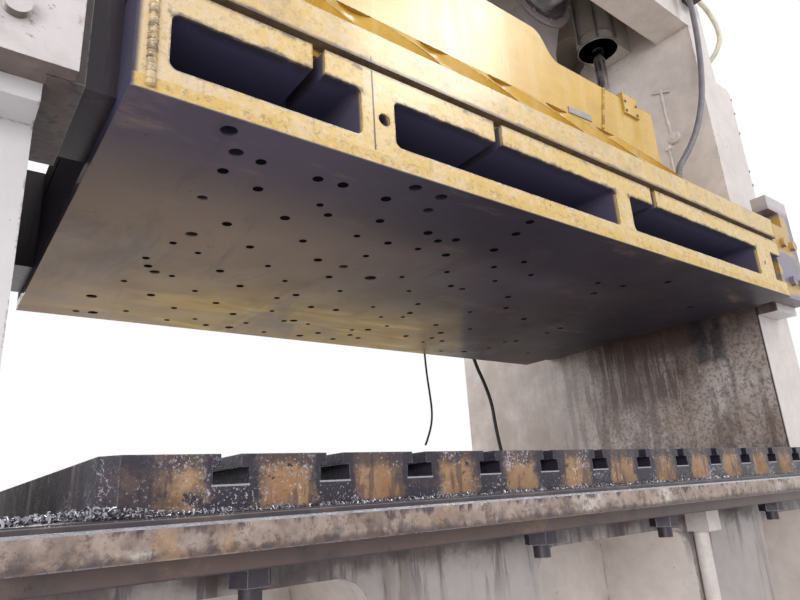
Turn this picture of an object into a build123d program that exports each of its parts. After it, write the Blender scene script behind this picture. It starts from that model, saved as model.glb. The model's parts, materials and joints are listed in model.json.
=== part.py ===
"""Straight-side two-point stamping press, in millimetres.

The origin is on the floor under the middle of the frame. +X runs to the right, -Y to the front and
+Z up. The slide stands at the top of its stroke.
"""

import os
from math import pi, radians, sqrt, tan

from build123d import *

os.makedirs("parts", exist_ok=True)

inch = 25.4

# Heights of the frame
pad_height = 60
bed_height = 1001
bed_plate = 65
upright_height = 1859
crown_height = 1100

# Plan of the frame
upright_width = 450
upright_depth = 1574
column_depth = 1280
column_chamfer = 15
flange_width = 143
wide_flange_width = 257
wide_flange_drop = 235
wide_flange_chamfer = 18

# Bolster
bolster_width = 84 * inch
bolster_depth = 48 * inch
bolster_thickness = 71
bolster_corner = 20
slot_pitch = 6 * inch
slot_neck = 27
slot_neck_depth = 16.5
slot_head = 47.6
slot_head_depth = 20.6
slot_count = 13

# Bed
bed_lip = 40
bed_overhang = 125
bed_step = 82.6
rail_thickness = 35
rail_height = 35
rail_drop = 7
bay_depth = 260
bay_corner = 60
bay_sill = 150
bay_lintel = 40
centre_bay_width = 554
outer_bay_width = 445
outer_bay_margin = 64
foot_width = 400
foot_reach = 100
foot_thickness = 50
anchor_hole_radius = 22.5
pad_depth = 420

# Bolts that hold the bolster down
bolster_bolt_xs = (-874, -319, 83, 605)
bolster_bolt_setback = 30
bolster_bolt_radius = 15
bolster_bolt_engagement = 30
bolster_bolt_tail = 22
bolster_nut_flats = 50
bolster_nut_height = 26
bolt_clearance = 1.5

# Tie rods
tie_rod_radius = 65
tie_rod_clearance = 10
tie_rod_inset = 140
tie_rod_tail = 60
tie_nut_flats = 210
tie_nut_height = 130
tie_nut_pocket_radius = 150
tie_nut_pocket_depth = 230
tie_rod_chamfer = 6
thread_fit = 0.1

# Slide
slide_width = bolster_width
slide_depth = 47 * inch
daylight = 500
stroke = 6 * inch
slide_pad_height = 16
slide_pad_inset = 25
flange_thickness = 74
slide_body_inset = 206.8
slide_body_half_depth = 355
flange_chamfer = 4
shoulder_height = 494
tower_rise = 95
tower_half_width = 180
tower_foot_half_width = 315
flare_height = 305
flare_reach = 228
scallop_radius = 123
scallop_bite = 12
scallop_pitch = 258
scallop_count = 5
suspension_x = 605
flange_bolt_inset = 106.8

# Riser under the slide
riser_height = 199
face_plate_thickness = 25
riser_bottom_thickness = 24
riser_top_thickness = 51
riser_left_length = 414.8
riser_end_recess = 82
window_corner = 14
left_end_wall = 49.8
left_joint_wall = 26
right_joint_wall = 48
middle_rib = (101, 162)
right_end_wall = 186.8
clamp_slot_width = 24.5
clamp_slot_depth = 150
left_clamp_slot_inset = 113
right_clamp_slot_xs = (-319.5, 285)
rib_hole_inset = 24
rib_hole_radius = 13
end_hole_inset = 141.8
end_hole_radius = 6
rib_hole_depth = 60

# Bolts that hold the riser to the slide
riser_bolt_radius = 15
riser_bolt_engagement = 35
riser_nut_flats = 46
riser_nut_height = 25
riser_bolt_tail = 14

# Guides
wear_bar_thickness = 45.7
wear_bar_length = 220
wear_bar_height = 261
wear_bar_inset = 37.1
guide_clearance = 0.3
liner_thickness = 49.7
liner_overlap = 20
liner_rise = 18
liner_above = 35
gib_seat_depth = 68
gib_seat_drop = 30
gib_block_width = 168
gib_block_reach = 122
gib_block_height = 290
gib_lip = 36
gib_lip_thickness = 27
gib_arm_height = 56
gib_arm_gap = 60
gib_screw_radius = 18
gib_screw_head = 14
gib_screw_margin_x = 45
gib_screw_margin_z = 70
jack_bolt_radius = 12
jack_bolt_engagement = 60
jack_nut_flats = 40
jack_nut_height = 20
jack_bolt_tail = 18
jack_bolt_setback = 25
jack_bolt_drops = (455, 390, 204, 105, 34)

# Crown
cavity_before_die_line = 295
cavity_depth = 700
cavity_height = 900
side_hole_behind_die_line = 176
side_hole_above = 225
side_hole_radius = 135
side_hole_depth = 200
crown_cover_width = 820
crown_cover_height = 560
crown_cover_thickness = 14
crown_cover_corner = 40
cover_bolt_margin = 30
cover_bolt_flats = 24
cover_bolt_head = 10

# Eccentric drive
shaft_radius = 100
shaft_above_crown_bottom = 158
rear_journal = 150
eccentric_radius = 190
eccentric_width = 240
running_clearance = 0.08
strap_width = 200
strap_wall = 50
wrist_above_flange = 379.2
rod_neck_width = 150
rod_eye_radius = 80
rod_eye_width = 140
wrist_pin_radius = 45
wrist_pin_length = 230
well_clearance = 12
well_half_depth = 150
well_floor_clearance = 20
bearing_cap_radius = 140
bearing_cap_thickness = 45
cap_screw_radius = 12
cap_screw_head = 12

# Counterbalance
balance_inset = 51.8
balance_before_die_line = 95
balance_radius = 85
balance_bore_radius = 66
balance_height = 600
balance_gland = 50
balance_rod_radius = 25
balance_piston_height = 60
balance_piston_clearance = 0.08
balance_above_crown_bottom = 40
balance_boss_radius = 45
balance_boss_height = 40
balance_nut_flats = 70
balance_nut_height = 30
balance_foot_width = 160

# Flywheel, motor and belts
flywheel_radius = 500
flywheel_width = 150
flywheel_web = 50
flywheel_rim = 70
flywheel_hub_radius = 130
flywheel_hole_radius = 70
flywheel_hole_circle = 270
flywheel_gap = 33
flywheel_above_crown_bottom = 570
drive_shaft_radius = 60
drive_shaft_tail = 14
clutch_radius = 210
clutch_thickness = 30
sheave_radius = 120
sheave_width = 110
motor_above_crown = 340
motor_radius = 170
motor_length = 520
motor_shaft_radius = 28
motor_end_gap = 40
motor_foot_width = 420
motor_foot_thickness = 26
motor_fin_count = 24
motor_fin_width = 24
motor_fin_thickness = 8
motor_cowl = 70
motor_box_width = 110
motor_box_height = 130
motor_box_depth = 160
motor_boss = 8
belt_thickness = 14
belt_fit = 0.3
guard_depth = 242.6
guard_clearance = 45
guard_wall = 8
guard_window_radius = 300

# Air tank on the crown
tank_radius = 220
tank_length = 1450
tank_end_radius = 130
tank_setback = 357
tank_gap = 60
saddle_width = 60
saddle_x = 430

# Pipes, hoses and cables
cushion_pipe_radius = 17
cushion_pipe_gap = 20
cushion_flange_height = 52
slide_hose_radius = 11
conduit_radius = 10
rear_cable_radius = 4.5
rear_hose_radius = 8.5
fitting_radius = 19
fitting_height = 36
short_fitting_height = 24
conduit_box = 60


def save(piece, label):
    """Name a finished piece and write it."""
    piece.part.label = label
    export_step(piece.part, f"parts/{label}.step")


def front_plane(y):
    """Plane that faces the front, at a depth y, with its own x along +X and its own y along +Z."""
    return Plane.XZ.offset(-y)


def hex_radius(flats):
    """Corner radius of a hexagon from its width across flats."""
    return flats / sqrt(3)


# Places worked out from the driving sizes
half_slide = slide_width / 2
liner_inner = half_slide + wear_bar_thickness + guide_clearance
half_throat = liner_inner + liner_thickness
throat = 2 * half_throat
frame_half_width = half_throat + upright_width
upright_x = half_throat + upright_width / 2
frame_half_depth = upright_depth / 2
crown_bottom = bed_height + upright_height
crown_top = crown_bottom + crown_height
wide_flange_height = upright_height - wide_flange_drop
column_half_depth = column_depth / 2
crown_front = -frame_half_depth
bed_wall_front = -frame_half_depth - bed_step
bed_front = bed_wall_front - bed_overhang
bolster_front = bed_front + bed_lip
bolster_top = bed_height + bolster_thickness
die_line_y = bolster_front + bolster_depth / 2
bed_plate_bottom = bed_height - bed_plate
riser_bottom = bolster_top + daylight
riser_top = riser_bottom + riser_height
slide_front = die_line_y - slide_depth / 2
flange_bottom = riser_top + slide_pad_height
flange_top = flange_bottom + flange_thickness
body_front = die_line_y - slide_body_half_depth
shaft_z = crown_bottom + shaft_above_crown_bottom
eccentric_throw = stroke / 2
strap_z = shaft_z + eccentric_throw
wrist_z = flange_top + wrist_above_flange
tie_rod_y = column_half_depth - tie_rod_inset


# Bed, with bays in its walls and flanges at its feet for the anchor bolts
bay_bottom = pad_height + bay_sill
bay_top = bed_plate_bottom - bay_lintel
bay_height = bay_top - bay_bottom
outer_bay_x = half_throat - outer_bay_margin - outer_bay_width / 2
foot_x = frame_half_width - foot_width / 2
foot_y = frame_half_depth + foot_reach / 2

with BuildPart() as bed:
    with BuildSketch(Plane.XY.offset(pad_height)):
        Rectangle(2 * frame_half_width, upright_depth)
        with Locations((0, bed_wall_front / 2)):
            Rectangle(throat, -bed_wall_front)
    extrude(amount=bed_plate_bottom - pad_height)
    with BuildSketch(Plane.XY.offset(bed_plate_bottom)):
        Rectangle(2 * frame_half_width, upright_depth)
        with Locations((0, bed_front / 2)):
            Rectangle(throat, -bed_front)
    extrude(amount=bed_plate)
    with BuildSketch(front_plane(bed_wall_front)):
        with Locations((0, bay_bottom + bay_height / 2)):
            RectangleRounded(centre_bay_width, bay_height, bay_corner)
        with Locations(
            (-outer_bay_x, bay_bottom + bay_height / 2),
            (outer_bay_x, bay_bottom + bay_height / 2),
        ):
            RectangleRounded(outer_bay_width, bay_height, bay_corner)
    extrude(amount=-bay_depth, mode=Mode.SUBTRACT)
    with BuildSketch(front_plane(frame_half_depth)):
        with Locations(
            (-outer_bay_x, bay_bottom + bay_height / 2),
            (outer_bay_x, bay_bottom + bay_height / 2),
        ):
            RectangleRounded(outer_bay_width, bay_height, bay_corner)
    extrude(amount=bay_depth, mode=Mode.SUBTRACT)
    with BuildSketch(Plane.XY.offset(pad_height)):
        with GridLocations(2 * foot_x, 2 * foot_y, 2, 2):
            Rectangle(foot_width, foot_reach)
    extrude(amount=foot_thickness)
    with BuildSketch(Plane.XY.offset(pad_height)):
        with GridLocations(2 * foot_x, 2 * foot_y, 2, 2):
            Circle(anchor_hole_radius)
    extrude(amount=foot_thickness, mode=Mode.SUBTRACT)
    with BuildSketch(Plane.XY.offset(pad_height)):
        with GridLocations(2 * upright_x, 2 * tie_rod_y, 2, 2):
            Circle(tie_nut_pocket_radius)
    extrude(amount=tie_nut_pocket_depth, mode=Mode.SUBTRACT)
    with BuildSketch(Plane.XY.offset(pad_height)):
        with GridLocations(2 * upright_x, 2 * tie_rod_y, 2, 2):
            Circle(tie_rod_radius + tie_rod_clearance)
    extrude(amount=bed_height - pad_height, mode=Mode.SUBTRACT)
    with BuildSketch(Plane.XY.offset(bed_plate_bottom)):
        with Locations([(x, bolster_front + bolster_bolt_setback) for x in bolster_bolt_xs]):
            Circle(bolster_bolt_radius + bolt_clearance)
    extrude(amount=bed_plate, mode=Mode.SUBTRACT)
save(bed, "bed")

# Levelling pads under the feet
for side, side_name in ((-1, "left"), (1, "right")):
    for end, end_name in ((-1, "front"), (1, "rear")):
        pad_y = end * (frame_half_depth + foot_reach - pad_depth / 2)
        with BuildPart() as pad:
            with BuildSketch():
                with Locations((side * foot_x, pad_y)):
                    Rectangle(foot_width, pad_depth)
                with Locations((side * foot_x, end * foot_y)):
                    Circle(anchor_hole_radius, mode=Mode.SUBTRACT)
            extrude(amount=pad_height)
        save(pad, f"pad_{end_name}_{side_name}")

# Rail along the front edge of the bed plate, which catches oil and chips
with BuildPart() as bed_rail:
    with BuildSketch(Plane.XY.offset(bed_height - rail_drop - rail_height)):
        with Locations((0, bed_front - rail_thickness / 2)):
            Rectangle(throat, rail_thickness)
    extrude(amount=rail_height)
    top_edges = bed_rail.faces().sort_by(Axis.Z)[-1].edges().filter_by(Axis.X)
    chamfer(top_edges, 3)
save(bed_rail, "bed_rail")

# Bolster plate with T-slots from front to back
with BuildPart() as bolster:
    with BuildSketch(Plane.XY.offset(bed_height)):
        with Locations((0, die_line_y)):
            outline = Rectangle(bolster_width, bolster_depth)
        chamfer(outline.vertices(), bolster_corner)
    extrude(amount=bolster_thickness)
    with BuildSketch(front_plane(bolster_front)):
        with Locations((0, bolster_top - slot_neck_depth / 2)):
            with GridLocations(slot_pitch, 1, slot_count, 1):
                Rectangle(slot_neck, slot_neck_depth)
        with Locations((0, bolster_top - slot_neck_depth - slot_head_depth / 2)):
            with GridLocations(slot_pitch, 1, slot_count, 1):
                Rectangle(slot_head, slot_head_depth)
    extrude(amount=-bolster_depth, mode=Mode.SUBTRACT)
    with BuildSketch(Plane.XY.offset(bed_height)):
        with Locations([(x, bolster_front + bolster_bolt_setback) for x in bolster_bolt_xs]):
            Circle(bolster_bolt_radius + thread_fit)
    extrude(amount=bolster_bolt_engagement, mode=Mode.SUBTRACT)
save(bolster, "bolster")

# Hold-down bolts, whose nuts and stud ends hang under the bed plate
with BuildPart() as bolster_bolts:
    with BuildSketch(Plane.XY.offset(bed_plate_bottom - bolster_nut_height - bolster_bolt_tail)):
        with Locations([(x, bolster_front + bolster_bolt_setback) for x in bolster_bolt_xs]):
            Circle(bolster_bolt_radius)
    extrude(
        amount=bolster_bolt_tail + bolster_nut_height + bed_plate + bolster_bolt_engagement
    )
    with BuildSketch(Plane.XY.offset(bed_plate_bottom - bolster_nut_height)):
        with Locations([(x, bolster_front + bolster_bolt_setback) for x in bolster_bolt_xs]):
            RegularPolygon(hex_radius(bolster_nut_flats), 6)
    extrude(amount=bolster_nut_height)
save(bolster_bolts, "bolster_bolts")

# Uprights, bored for the tie rods, recessed on their outer sides for covers, with seats for the gib blocks
recess_depth = 30
recess_width = 760
recess_height = 640
recess_corner = 70
cover_margin = 12
cover_thickness = 14
handle_width = 160
handle_reach = 12
handle_thickness = 12
recess_levels = (
    bed_height + upright_height * 0.27,
    bed_height + upright_height * 0.73,
)

gib_block_bottom = riser_bottom + liner_rise
gib_block_top = gib_block_bottom + gib_block_height

jack_bolt_y = -frame_half_depth + jack_bolt_setback
jack_bolt_zs = [bed_height + wide_flange_height - drop for drop in jack_bolt_drops]

for side, side_name in ((-1, "left"), (1, "right")):
    flange_edge = side * (half_throat + wide_flange_width)
    with BuildPart() as upright:
        with BuildSketch(Plane.XY.offset(bed_height)):
            with Locations((side * upright_x, 0)):
                Rectangle(upright_width, column_depth)
            with Locations((side * (half_throat + flange_width / 2), 0)):
                Rectangle(flange_width, upright_depth)
        extrude(amount=upright_height)
        outer_corners = upright.edges().filter_by(Axis.Z).filter_by(
            lambda edge: abs(edge.center().X) > frame_half_width - 1
        )
        chamfer(outer_corners, column_chamfer)
        with BuildSketch(Plane.XY.offset(bed_height)):
            with GridLocations(2 * upright_x, 2 * tie_rod_y, 2, 2):
                Circle(tie_rod_radius + tie_rod_clearance)
        extrude(amount=upright_height, mode=Mode.SUBTRACT)
        with BuildSketch(Plane.XY.offset(bed_height)):
            with Locations((side * (half_throat + wide_flange_width / 2), 0)):
                Rectangle(wide_flange_width, upright_depth)
                Rectangle(wide_flange_width, column_depth, mode=Mode.SUBTRACT)
        extrude(amount=wide_flange_height)
        shoulders = upright.edges().filter_by(Axis.Y).filter_by(
            lambda edge: abs(edge.center().X - flange_edge) < 1
            and edge.center().Z > bed_height + wide_flange_height - 1
        )
        chamfer(shoulders, wide_flange_chamfer)
        with BuildSketch(Plane.XY.offset(gib_block_bottom - gib_seat_drop)):
            with Locations(
                (
                    side * (half_throat + gib_block_width / 2),
                    -frame_half_depth - gib_seat_depth / 2,
                )
            ):
                Rectangle(gib_block_width, gib_seat_depth)
        extrude(amount=gib_block_height + gib_seat_drop)
        with BuildSketch(Plane.YZ.offset(side * frame_half_width)):
            with Locations([(0, level) for level in recess_levels]):
                RectangleRounded(recess_width, recess_height, recess_corner)
        extrude(amount=-side * recess_depth, mode=Mode.SUBTRACT)
        with BuildSketch(Plane.YZ.offset(flange_edge)):
            with Locations([(jack_bolt_y, z) for z in jack_bolt_zs]):
                Circle(jack_bolt_radius + thread_fit)
        extrude(amount=-side * jack_bolt_engagement, mode=Mode.SUBTRACT)
    save(upright, f"upright_{side_name}")

    with BuildPart() as jack_bolts:
        with BuildSketch(Plane.YZ.offset(flange_edge - side * jack_bolt_engagement)):
            with Locations([(jack_bolt_y, z) for z in jack_bolt_zs]):
                Circle(jack_bolt_radius)
        extrude(amount=side * (jack_bolt_engagement + jack_nut_height + jack_bolt_tail))
        with BuildSketch(Plane.YZ.offset(flange_edge)):
            with Locations([(jack_bolt_y, z) for z in jack_bolt_zs]):
                RegularPolygon(hex_radius(jack_nut_flats), 6)
        extrude(amount=side * jack_nut_height)
    save(jack_bolts, f"jack_bolts_{side_name}")

    with BuildPart() as upright_covers:
        with BuildSketch(Plane.YZ.offset(side * (frame_half_width - recess_depth))):
            with Locations([(0, level) for level in recess_levels]):
                RectangleRounded(
                    recess_width - 2 * cover_margin,
                    recess_height - 2 * cover_margin,
                    recess_corner - cover_margin,
                )
        extrude(amount=side * cover_thickness)
        with BuildSketch(
            Plane.YZ.offset(side * (frame_half_width - recess_depth + cover_thickness))
        ):
            with Locations([(0, level) for level in recess_levels]):
                Rectangle(handle_width, handle_thickness)
        extrude(amount=side * handle_reach)
    save(upright_covers, f"upright_covers_{side_name}")

# Crown, open below between the uprights, where the eccentrics and rods hang
cavity_front = die_line_y - cavity_before_die_line
cavity_centre_y = cavity_front + cavity_depth / 2
side_hole_y = die_line_y + side_hole_behind_die_line

with BuildPart() as crown:
    with BuildSketch(Plane.XY.offset(crown_bottom)):
        Rectangle(2 * frame_half_width, column_depth)
        Rectangle(throat + 2 * flange_width, upright_depth)
        with GridLocations(2 * upright_x, 2 * tie_rod_y, 2, 2):
            Circle(tie_rod_radius + tie_rod_clearance, mode=Mode.SUBTRACT)
    extrude(amount=crown_height)
    with BuildSketch(Plane.XY.offset(crown_bottom)):
        with Locations((0, cavity_centre_y)):
            Rectangle(throat, cavity_depth)
    extrude(amount=cavity_height, mode=Mode.SUBTRACT)
    with BuildSketch(front_plane(crown_front)):
        with Locations((-suspension_x, shaft_z), (suspension_x, shaft_z)):
            Circle(shaft_radius + running_clearance)
    extrude(
        amount=-(cavity_front + cavity_depth + rear_journal - crown_front),
        mode=Mode.SUBTRACT,
    )
    for side in (-1, 1):
        with BuildSketch(Plane.YZ.offset(side * half_throat)):
            with Locations((side_hole_y, crown_bottom + side_hole_above)):
                Circle(side_hole_radius)
        extrude(amount=side * side_hole_depth, mode=Mode.SUBTRACT)
    with BuildSketch(front_plane(frame_half_depth)):
        with Locations((0, crown_bottom + flywheel_above_crown_bottom)):
            Circle(drive_shaft_radius + running_clearance)
    extrude(amount=2 * rear_journal, mode=Mode.SUBTRACT)
save(crown, "crown")

# Tie rods through bed, uprights and crown, each with a nut at both ends
tie_pocket_top = pad_height + tie_nut_pocket_depth
tie_rod_bottom = tie_pocket_top - tie_nut_height - tie_rod_tail
tie_rod_top = crown_top + tie_nut_height + tie_rod_tail

for side, side_name in ((-1, "left"), (1, "right")):
    for end, end_name in ((-1, "front"), (1, "rear")):
        tie_place = (side * upright_x, end * tie_rod_y)
        with BuildPart() as tie_rod:
            with BuildSketch(Plane.XY.offset(tie_rod_bottom)):
                with Locations(tie_place):
                    Circle(tie_rod_radius)
            extrude(amount=tie_rod_top - tie_rod_bottom)
            for nut_bottom in (tie_pocket_top - tie_nut_height, crown_top):
                with BuildSketch(Plane.XY.offset(nut_bottom)):
                    with Locations(tie_place):
                        RegularPolygon(hex_radius(tie_nut_flats), 6)
                extrude(amount=tie_nut_height)
            chamfer(tie_rod.edges().filter_by(GeomType.CIRCLE), tie_rod_chamfer)
        save(tie_rod, f"tie_rod_{end_name}_{side_name}")

# Crown cover and bearing caps on the front of the crown
with BuildPart() as crown_cover:
    with BuildSketch(front_plane(crown_front)):
        with Locations((0, crown_bottom + crown_height / 2)):
            RectangleRounded(crown_cover_width, crown_cover_height, crown_cover_corner)
    extrude(amount=crown_cover_thickness)
    with BuildSketch(front_plane(crown_front - crown_cover_thickness)):
        with Locations((0, crown_bottom + crown_height / 2)):
            with GridLocations(
                crown_cover_width / 2 - cover_bolt_margin,
                crown_cover_height - 2 * cover_bolt_margin,
                3,
                2,
            ):
                RegularPolygon(hex_radius(cover_bolt_flats), 6)
    extrude(amount=cover_bolt_head)
save(crown_cover, "crown_cover")

with BuildPart() as bearing_caps:
    with BuildSketch(front_plane(crown_front)):
        with Locations((-suspension_x, shaft_z), (suspension_x, shaft_z)):
            Circle(bearing_cap_radius)
    extrude(amount=bearing_cap_thickness)
    chamfer(bearing_caps.edges().group_by(Axis.Y)[0], 8)
    with BuildSketch(front_plane(crown_front - bearing_cap_thickness)):
        with Locations((-suspension_x, shaft_z), (suspension_x, shaft_z)):
            with PolarLocations(bearing_cap_radius - 30, 6):
                Circle(cap_screw_radius)
    extrude(amount=cap_screw_head)
save(bearing_caps, "bearing_caps")

# Eccentric shafts, from front to back, and the connecting rods that hang from them
shaft_front = crown_front + 1
shaft_length = cavity_front + cavity_depth + rear_journal - 1 - shaft_front
strap_radius = eccentric_radius + strap_wall

for side, side_name in ((-1, "left"), (1, "right")):
    rod_x = side * suspension_x
    with BuildPart() as eccentric_shaft:
        with BuildSketch(front_plane(shaft_front)):
            with Locations((rod_x, shaft_z)):
                Circle(shaft_radius)
        extrude(amount=-shaft_length)
        with BuildSketch(front_plane(die_line_y - eccentric_width / 2)):
            with Locations((rod_x, strap_z)):
                Circle(eccentric_radius)
        extrude(amount=-eccentric_width)
    save(eccentric_shaft, f"eccentric_shaft_{side_name}")

    with BuildPart() as connecting_rod:
        with BuildSketch(front_plane(die_line_y - strap_width / 2)):
            with Locations((rod_x, strap_z)):
                Circle(strap_radius)
            with BuildLine():
                Polyline(
                    (rod_x - strap_radius * 0.8, strap_z),
                    (rod_x - rod_neck_width / 2, strap_z - strap_radius - 120),
                    (rod_x - rod_neck_width / 2, wrist_z),
                    (rod_x + rod_neck_width / 2, wrist_z),
                    (rod_x + rod_neck_width / 2, strap_z - strap_radius - 120),
                    (rod_x + strap_radius * 0.8, strap_z),
                    close=True,
                )
            make_face()
        extrude(amount=-strap_width)
        with BuildSketch(front_plane(die_line_y - strap_width / 2)):
            with Locations((rod_x, wrist_z)):
                Rectangle(2 * rod_eye_radius + 2, 4 * rod_eye_radius)
        extrude(amount=-(strap_width - rod_eye_width) / 2, mode=Mode.SUBTRACT)
        with BuildSketch(front_plane(die_line_y + strap_width / 2)):
            with Locations((rod_x, wrist_z)):
                Rectangle(2 * rod_eye_radius + 2, 4 * rod_eye_radius)
        extrude(amount=(strap_width - rod_eye_width) / 2, mode=Mode.SUBTRACT)
        with BuildSketch(front_plane(die_line_y - rod_eye_width / 2)):
            with Locations((rod_x, wrist_z)):
                Circle(rod_eye_radius)
        extrude(amount=-rod_eye_width)
        with BuildSketch(front_plane(die_line_y - strap_width / 2)):
            with Locations((rod_x, strap_z)):
                Circle(eccentric_radius + running_clearance)
            with Locations((rod_x, wrist_z)):
                Circle(wrist_pin_radius + thread_fit)
        extrude(amount=-strap_width, mode=Mode.SUBTRACT)
    save(connecting_rod, f"connecting_rod_{side_name}")

    with BuildPart() as wrist_pin:
        with BuildSketch(front_plane(die_line_y - wrist_pin_length / 2)):
            with Locations((rod_x, wrist_z)):
                Circle(wrist_pin_radius)
        extrude(amount=-wrist_pin_length)
        chamfer(wrist_pin.edges(), 4)
    save(wrist_pin, f"wrist_pin_{side_name}")

# Slide, whose body rises to a tower between the two wells for the rods and flares out to the flange,
# with scallops for the nuts of the riser bolts
well_half_width = rod_eye_radius + eccentric_throw + well_clearance
well_floor = wrist_z - stroke - rod_eye_radius - well_floor_clearance
shoulder_z = flange_top + shoulder_height
tower_z = shoulder_z + tower_rise
slide_body_half_width = half_slide - slide_body_inset
flange_bolt_x = half_slide - flange_bolt_inset
scallop_xs = [(i - (scallop_count - 1) / 2) * scallop_pitch for i in range(scallop_count)]
flare_half_width = scallop_count * scallop_pitch / 2
scallop_line = slide_body_half_depth + scallop_radius - scallop_bite
scallop_places = [(x, die_line_y + end * scallop_line) for x in scallop_xs for end in (-1, 1)]
flange_bolt_places = [
    (x, die_line_y + end * scallop_line) for x in (-flange_bolt_x, flange_bolt_x) for end in (-1, 1)
]
riser_bolt_places = scallop_places + flange_bolt_places

with BuildPart() as slide:
    with BuildSketch(Plane.XY.offset(riser_top)):
        with Locations((0, die_line_y)):
            Rectangle(slide_width - 2 * slide_pad_inset, slide_depth - 2 * slide_pad_inset)
    extrude(amount=slide_pad_height)
    with BuildSketch(Plane.XY.offset(flange_bottom)):
        with Locations((0, die_line_y)):
            Rectangle(slide_width, slide_depth)
    extrude(amount=flange_thickness)
    chamfer(slide.edges().filter_by(Axis.Z, reverse=True).group_by(Axis.Z)[-1], flange_chamfer)
    with BuildSketch(front_plane(body_front)):
        with BuildLine():
            right_curve = Spline(
                (tower_foot_half_width, shoulder_z),
                ((tower_foot_half_width + tower_half_width) / 2, shoulder_z + tower_rise / 2),
                (tower_half_width, tower_z),
                tangents=((-1, 0), (-1, 0)),
            )
            Line(right_curve @ 1, (-tower_half_width, tower_z))
            left_curve = Spline(
                (-tower_half_width, tower_z),
                (-(tower_foot_half_width + tower_half_width) / 2, shoulder_z + tower_rise / 2),
                (-tower_foot_half_width, shoulder_z),
                tangents=((-1, 0), (-1, 0)),
            )
            Polyline(
                left_curve @ 1,
                (-slide_body_half_width, shoulder_z),
                (-slide_body_half_width, flange_top),
                (slide_body_half_width, flange_top),
                (slide_body_half_width, shoulder_z),
                right_curve @ 0,
            )
        make_face()
    extrude(amount=-2 * slide_body_half_depth)
    for end in (-1, 1):
        face = die_line_y + end * slide_body_half_depth
        with BuildSketch(Plane.YZ.offset(-flare_half_width)):
            with BuildLine():
                Polyline(
                    (face, flange_top),
                    (face + end * flare_reach, flange_top),
                    (face, flange_top + flare_height),
                    close=True,
                )
            make_face()
        extrude(amount=2 * flare_half_width)
    with BuildSketch(Plane.XY.offset(well_floor)):
        with Locations((-suspension_x, die_line_y), (suspension_x, die_line_y)):
            RectangleRounded(2 * well_half_width, 2 * well_half_depth, 30)
    extrude(amount=shoulder_z - well_floor, mode=Mode.SUBTRACT)
    with BuildSketch(Plane.XY.offset(flange_top)):
        with Locations(scallop_places):
            Circle(scallop_radius)
    extrude(amount=flare_height, mode=Mode.SUBTRACT)
    with BuildSketch(Plane.XY.offset(riser_top)):
        with Locations(riser_bolt_places):
            Circle(riser_bolt_radius + bolt_clearance)
    extrude(amount=slide_pad_height + flange_thickness, mode=Mode.SUBTRACT)
save(slide, "slide")

# Riser in two lengths, with windows from front to back and slots for clamp bolts
window_bottom = riser_bottom + face_plate_thickness + riser_bottom_thickness
window_top = riser_top - riser_top_thickness
window_height = window_top - window_bottom
riser_joint_x = -half_slide + riser_left_length
left_window = (-half_slide + left_end_wall, riser_joint_x - left_joint_wall)
middle_window = (riser_joint_x + right_joint_wall, middle_rib[0])
right_window = (middle_rib[1], half_slide - right_end_wall)
clamp_slot_xs = (riser_joint_x - left_clamp_slot_inset, *right_clamp_slot_xs)
rib_hole_x = riser_joint_x + rib_hole_inset
end_hole_x = half_slide - end_hole_inset

for label, ends, windows in (
    ("riser_left", (-half_slide, riser_joint_x), (left_window,)),
    ("riser_right", (riser_joint_x, half_slide), (middle_window, right_window)),
):
    with BuildPart() as riser:
        with BuildSketch(front_plane(slide_front)):
            with Locations(
                (
                    (ends[0] + ends[1]) / 2,
                    (riser_bottom + face_plate_thickness + riser_top) / 2,
                )
            ):
                Rectangle(ends[1] - ends[0], riser_height - face_plate_thickness)
            for window in windows:
                with Locations(
                    ((window[0] + window[1]) / 2, (window_bottom + window_top) / 2)
                ):
                    RectangleRounded(
                        window[1] - window[0],
                        window_height,
                        window_corner,
                        mode=Mode.SUBTRACT,
                    )
            if ends[1] == half_slide:
                with Locations(
                    (half_slide - riser_end_recess / 2, (window_bottom + window_top) / 2)
                ):
                    Rectangle(riser_end_recess, window_height, mode=Mode.SUBTRACT)
        extrude(amount=-slide_depth)
        with BuildSketch(front_plane(slide_front)):
            for x in clamp_slot_xs:
                if ends[0] < x < ends[1]:
                    with Locations((x, window_top + riser_top_thickness / 2)):
                        Rectangle(clamp_slot_width, riser_top_thickness)
        extrude(amount=-clamp_slot_depth, mode=Mode.SUBTRACT)
        if ends[1] == half_slide:
            with BuildSketch(front_plane(slide_front)):
                with Locations((rib_hole_x, (window_bottom + window_top) / 2)):
                    Circle(rib_hole_radius)
                with Locations((end_hole_x, (window_bottom + window_top) / 2)):
                    Circle(end_hole_radius)
            extrude(amount=-rib_hole_depth, mode=Mode.SUBTRACT)
        with BuildSketch(Plane.XY.offset(riser_top)):
            with Locations([p for p in riser_bolt_places if ends[0] < p[0] < ends[1]]):
                Circle(riser_bolt_radius + thread_fit)
        extrude(amount=-riser_bolt_engagement, mode=Mode.SUBTRACT)
    save(riser, label)

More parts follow.
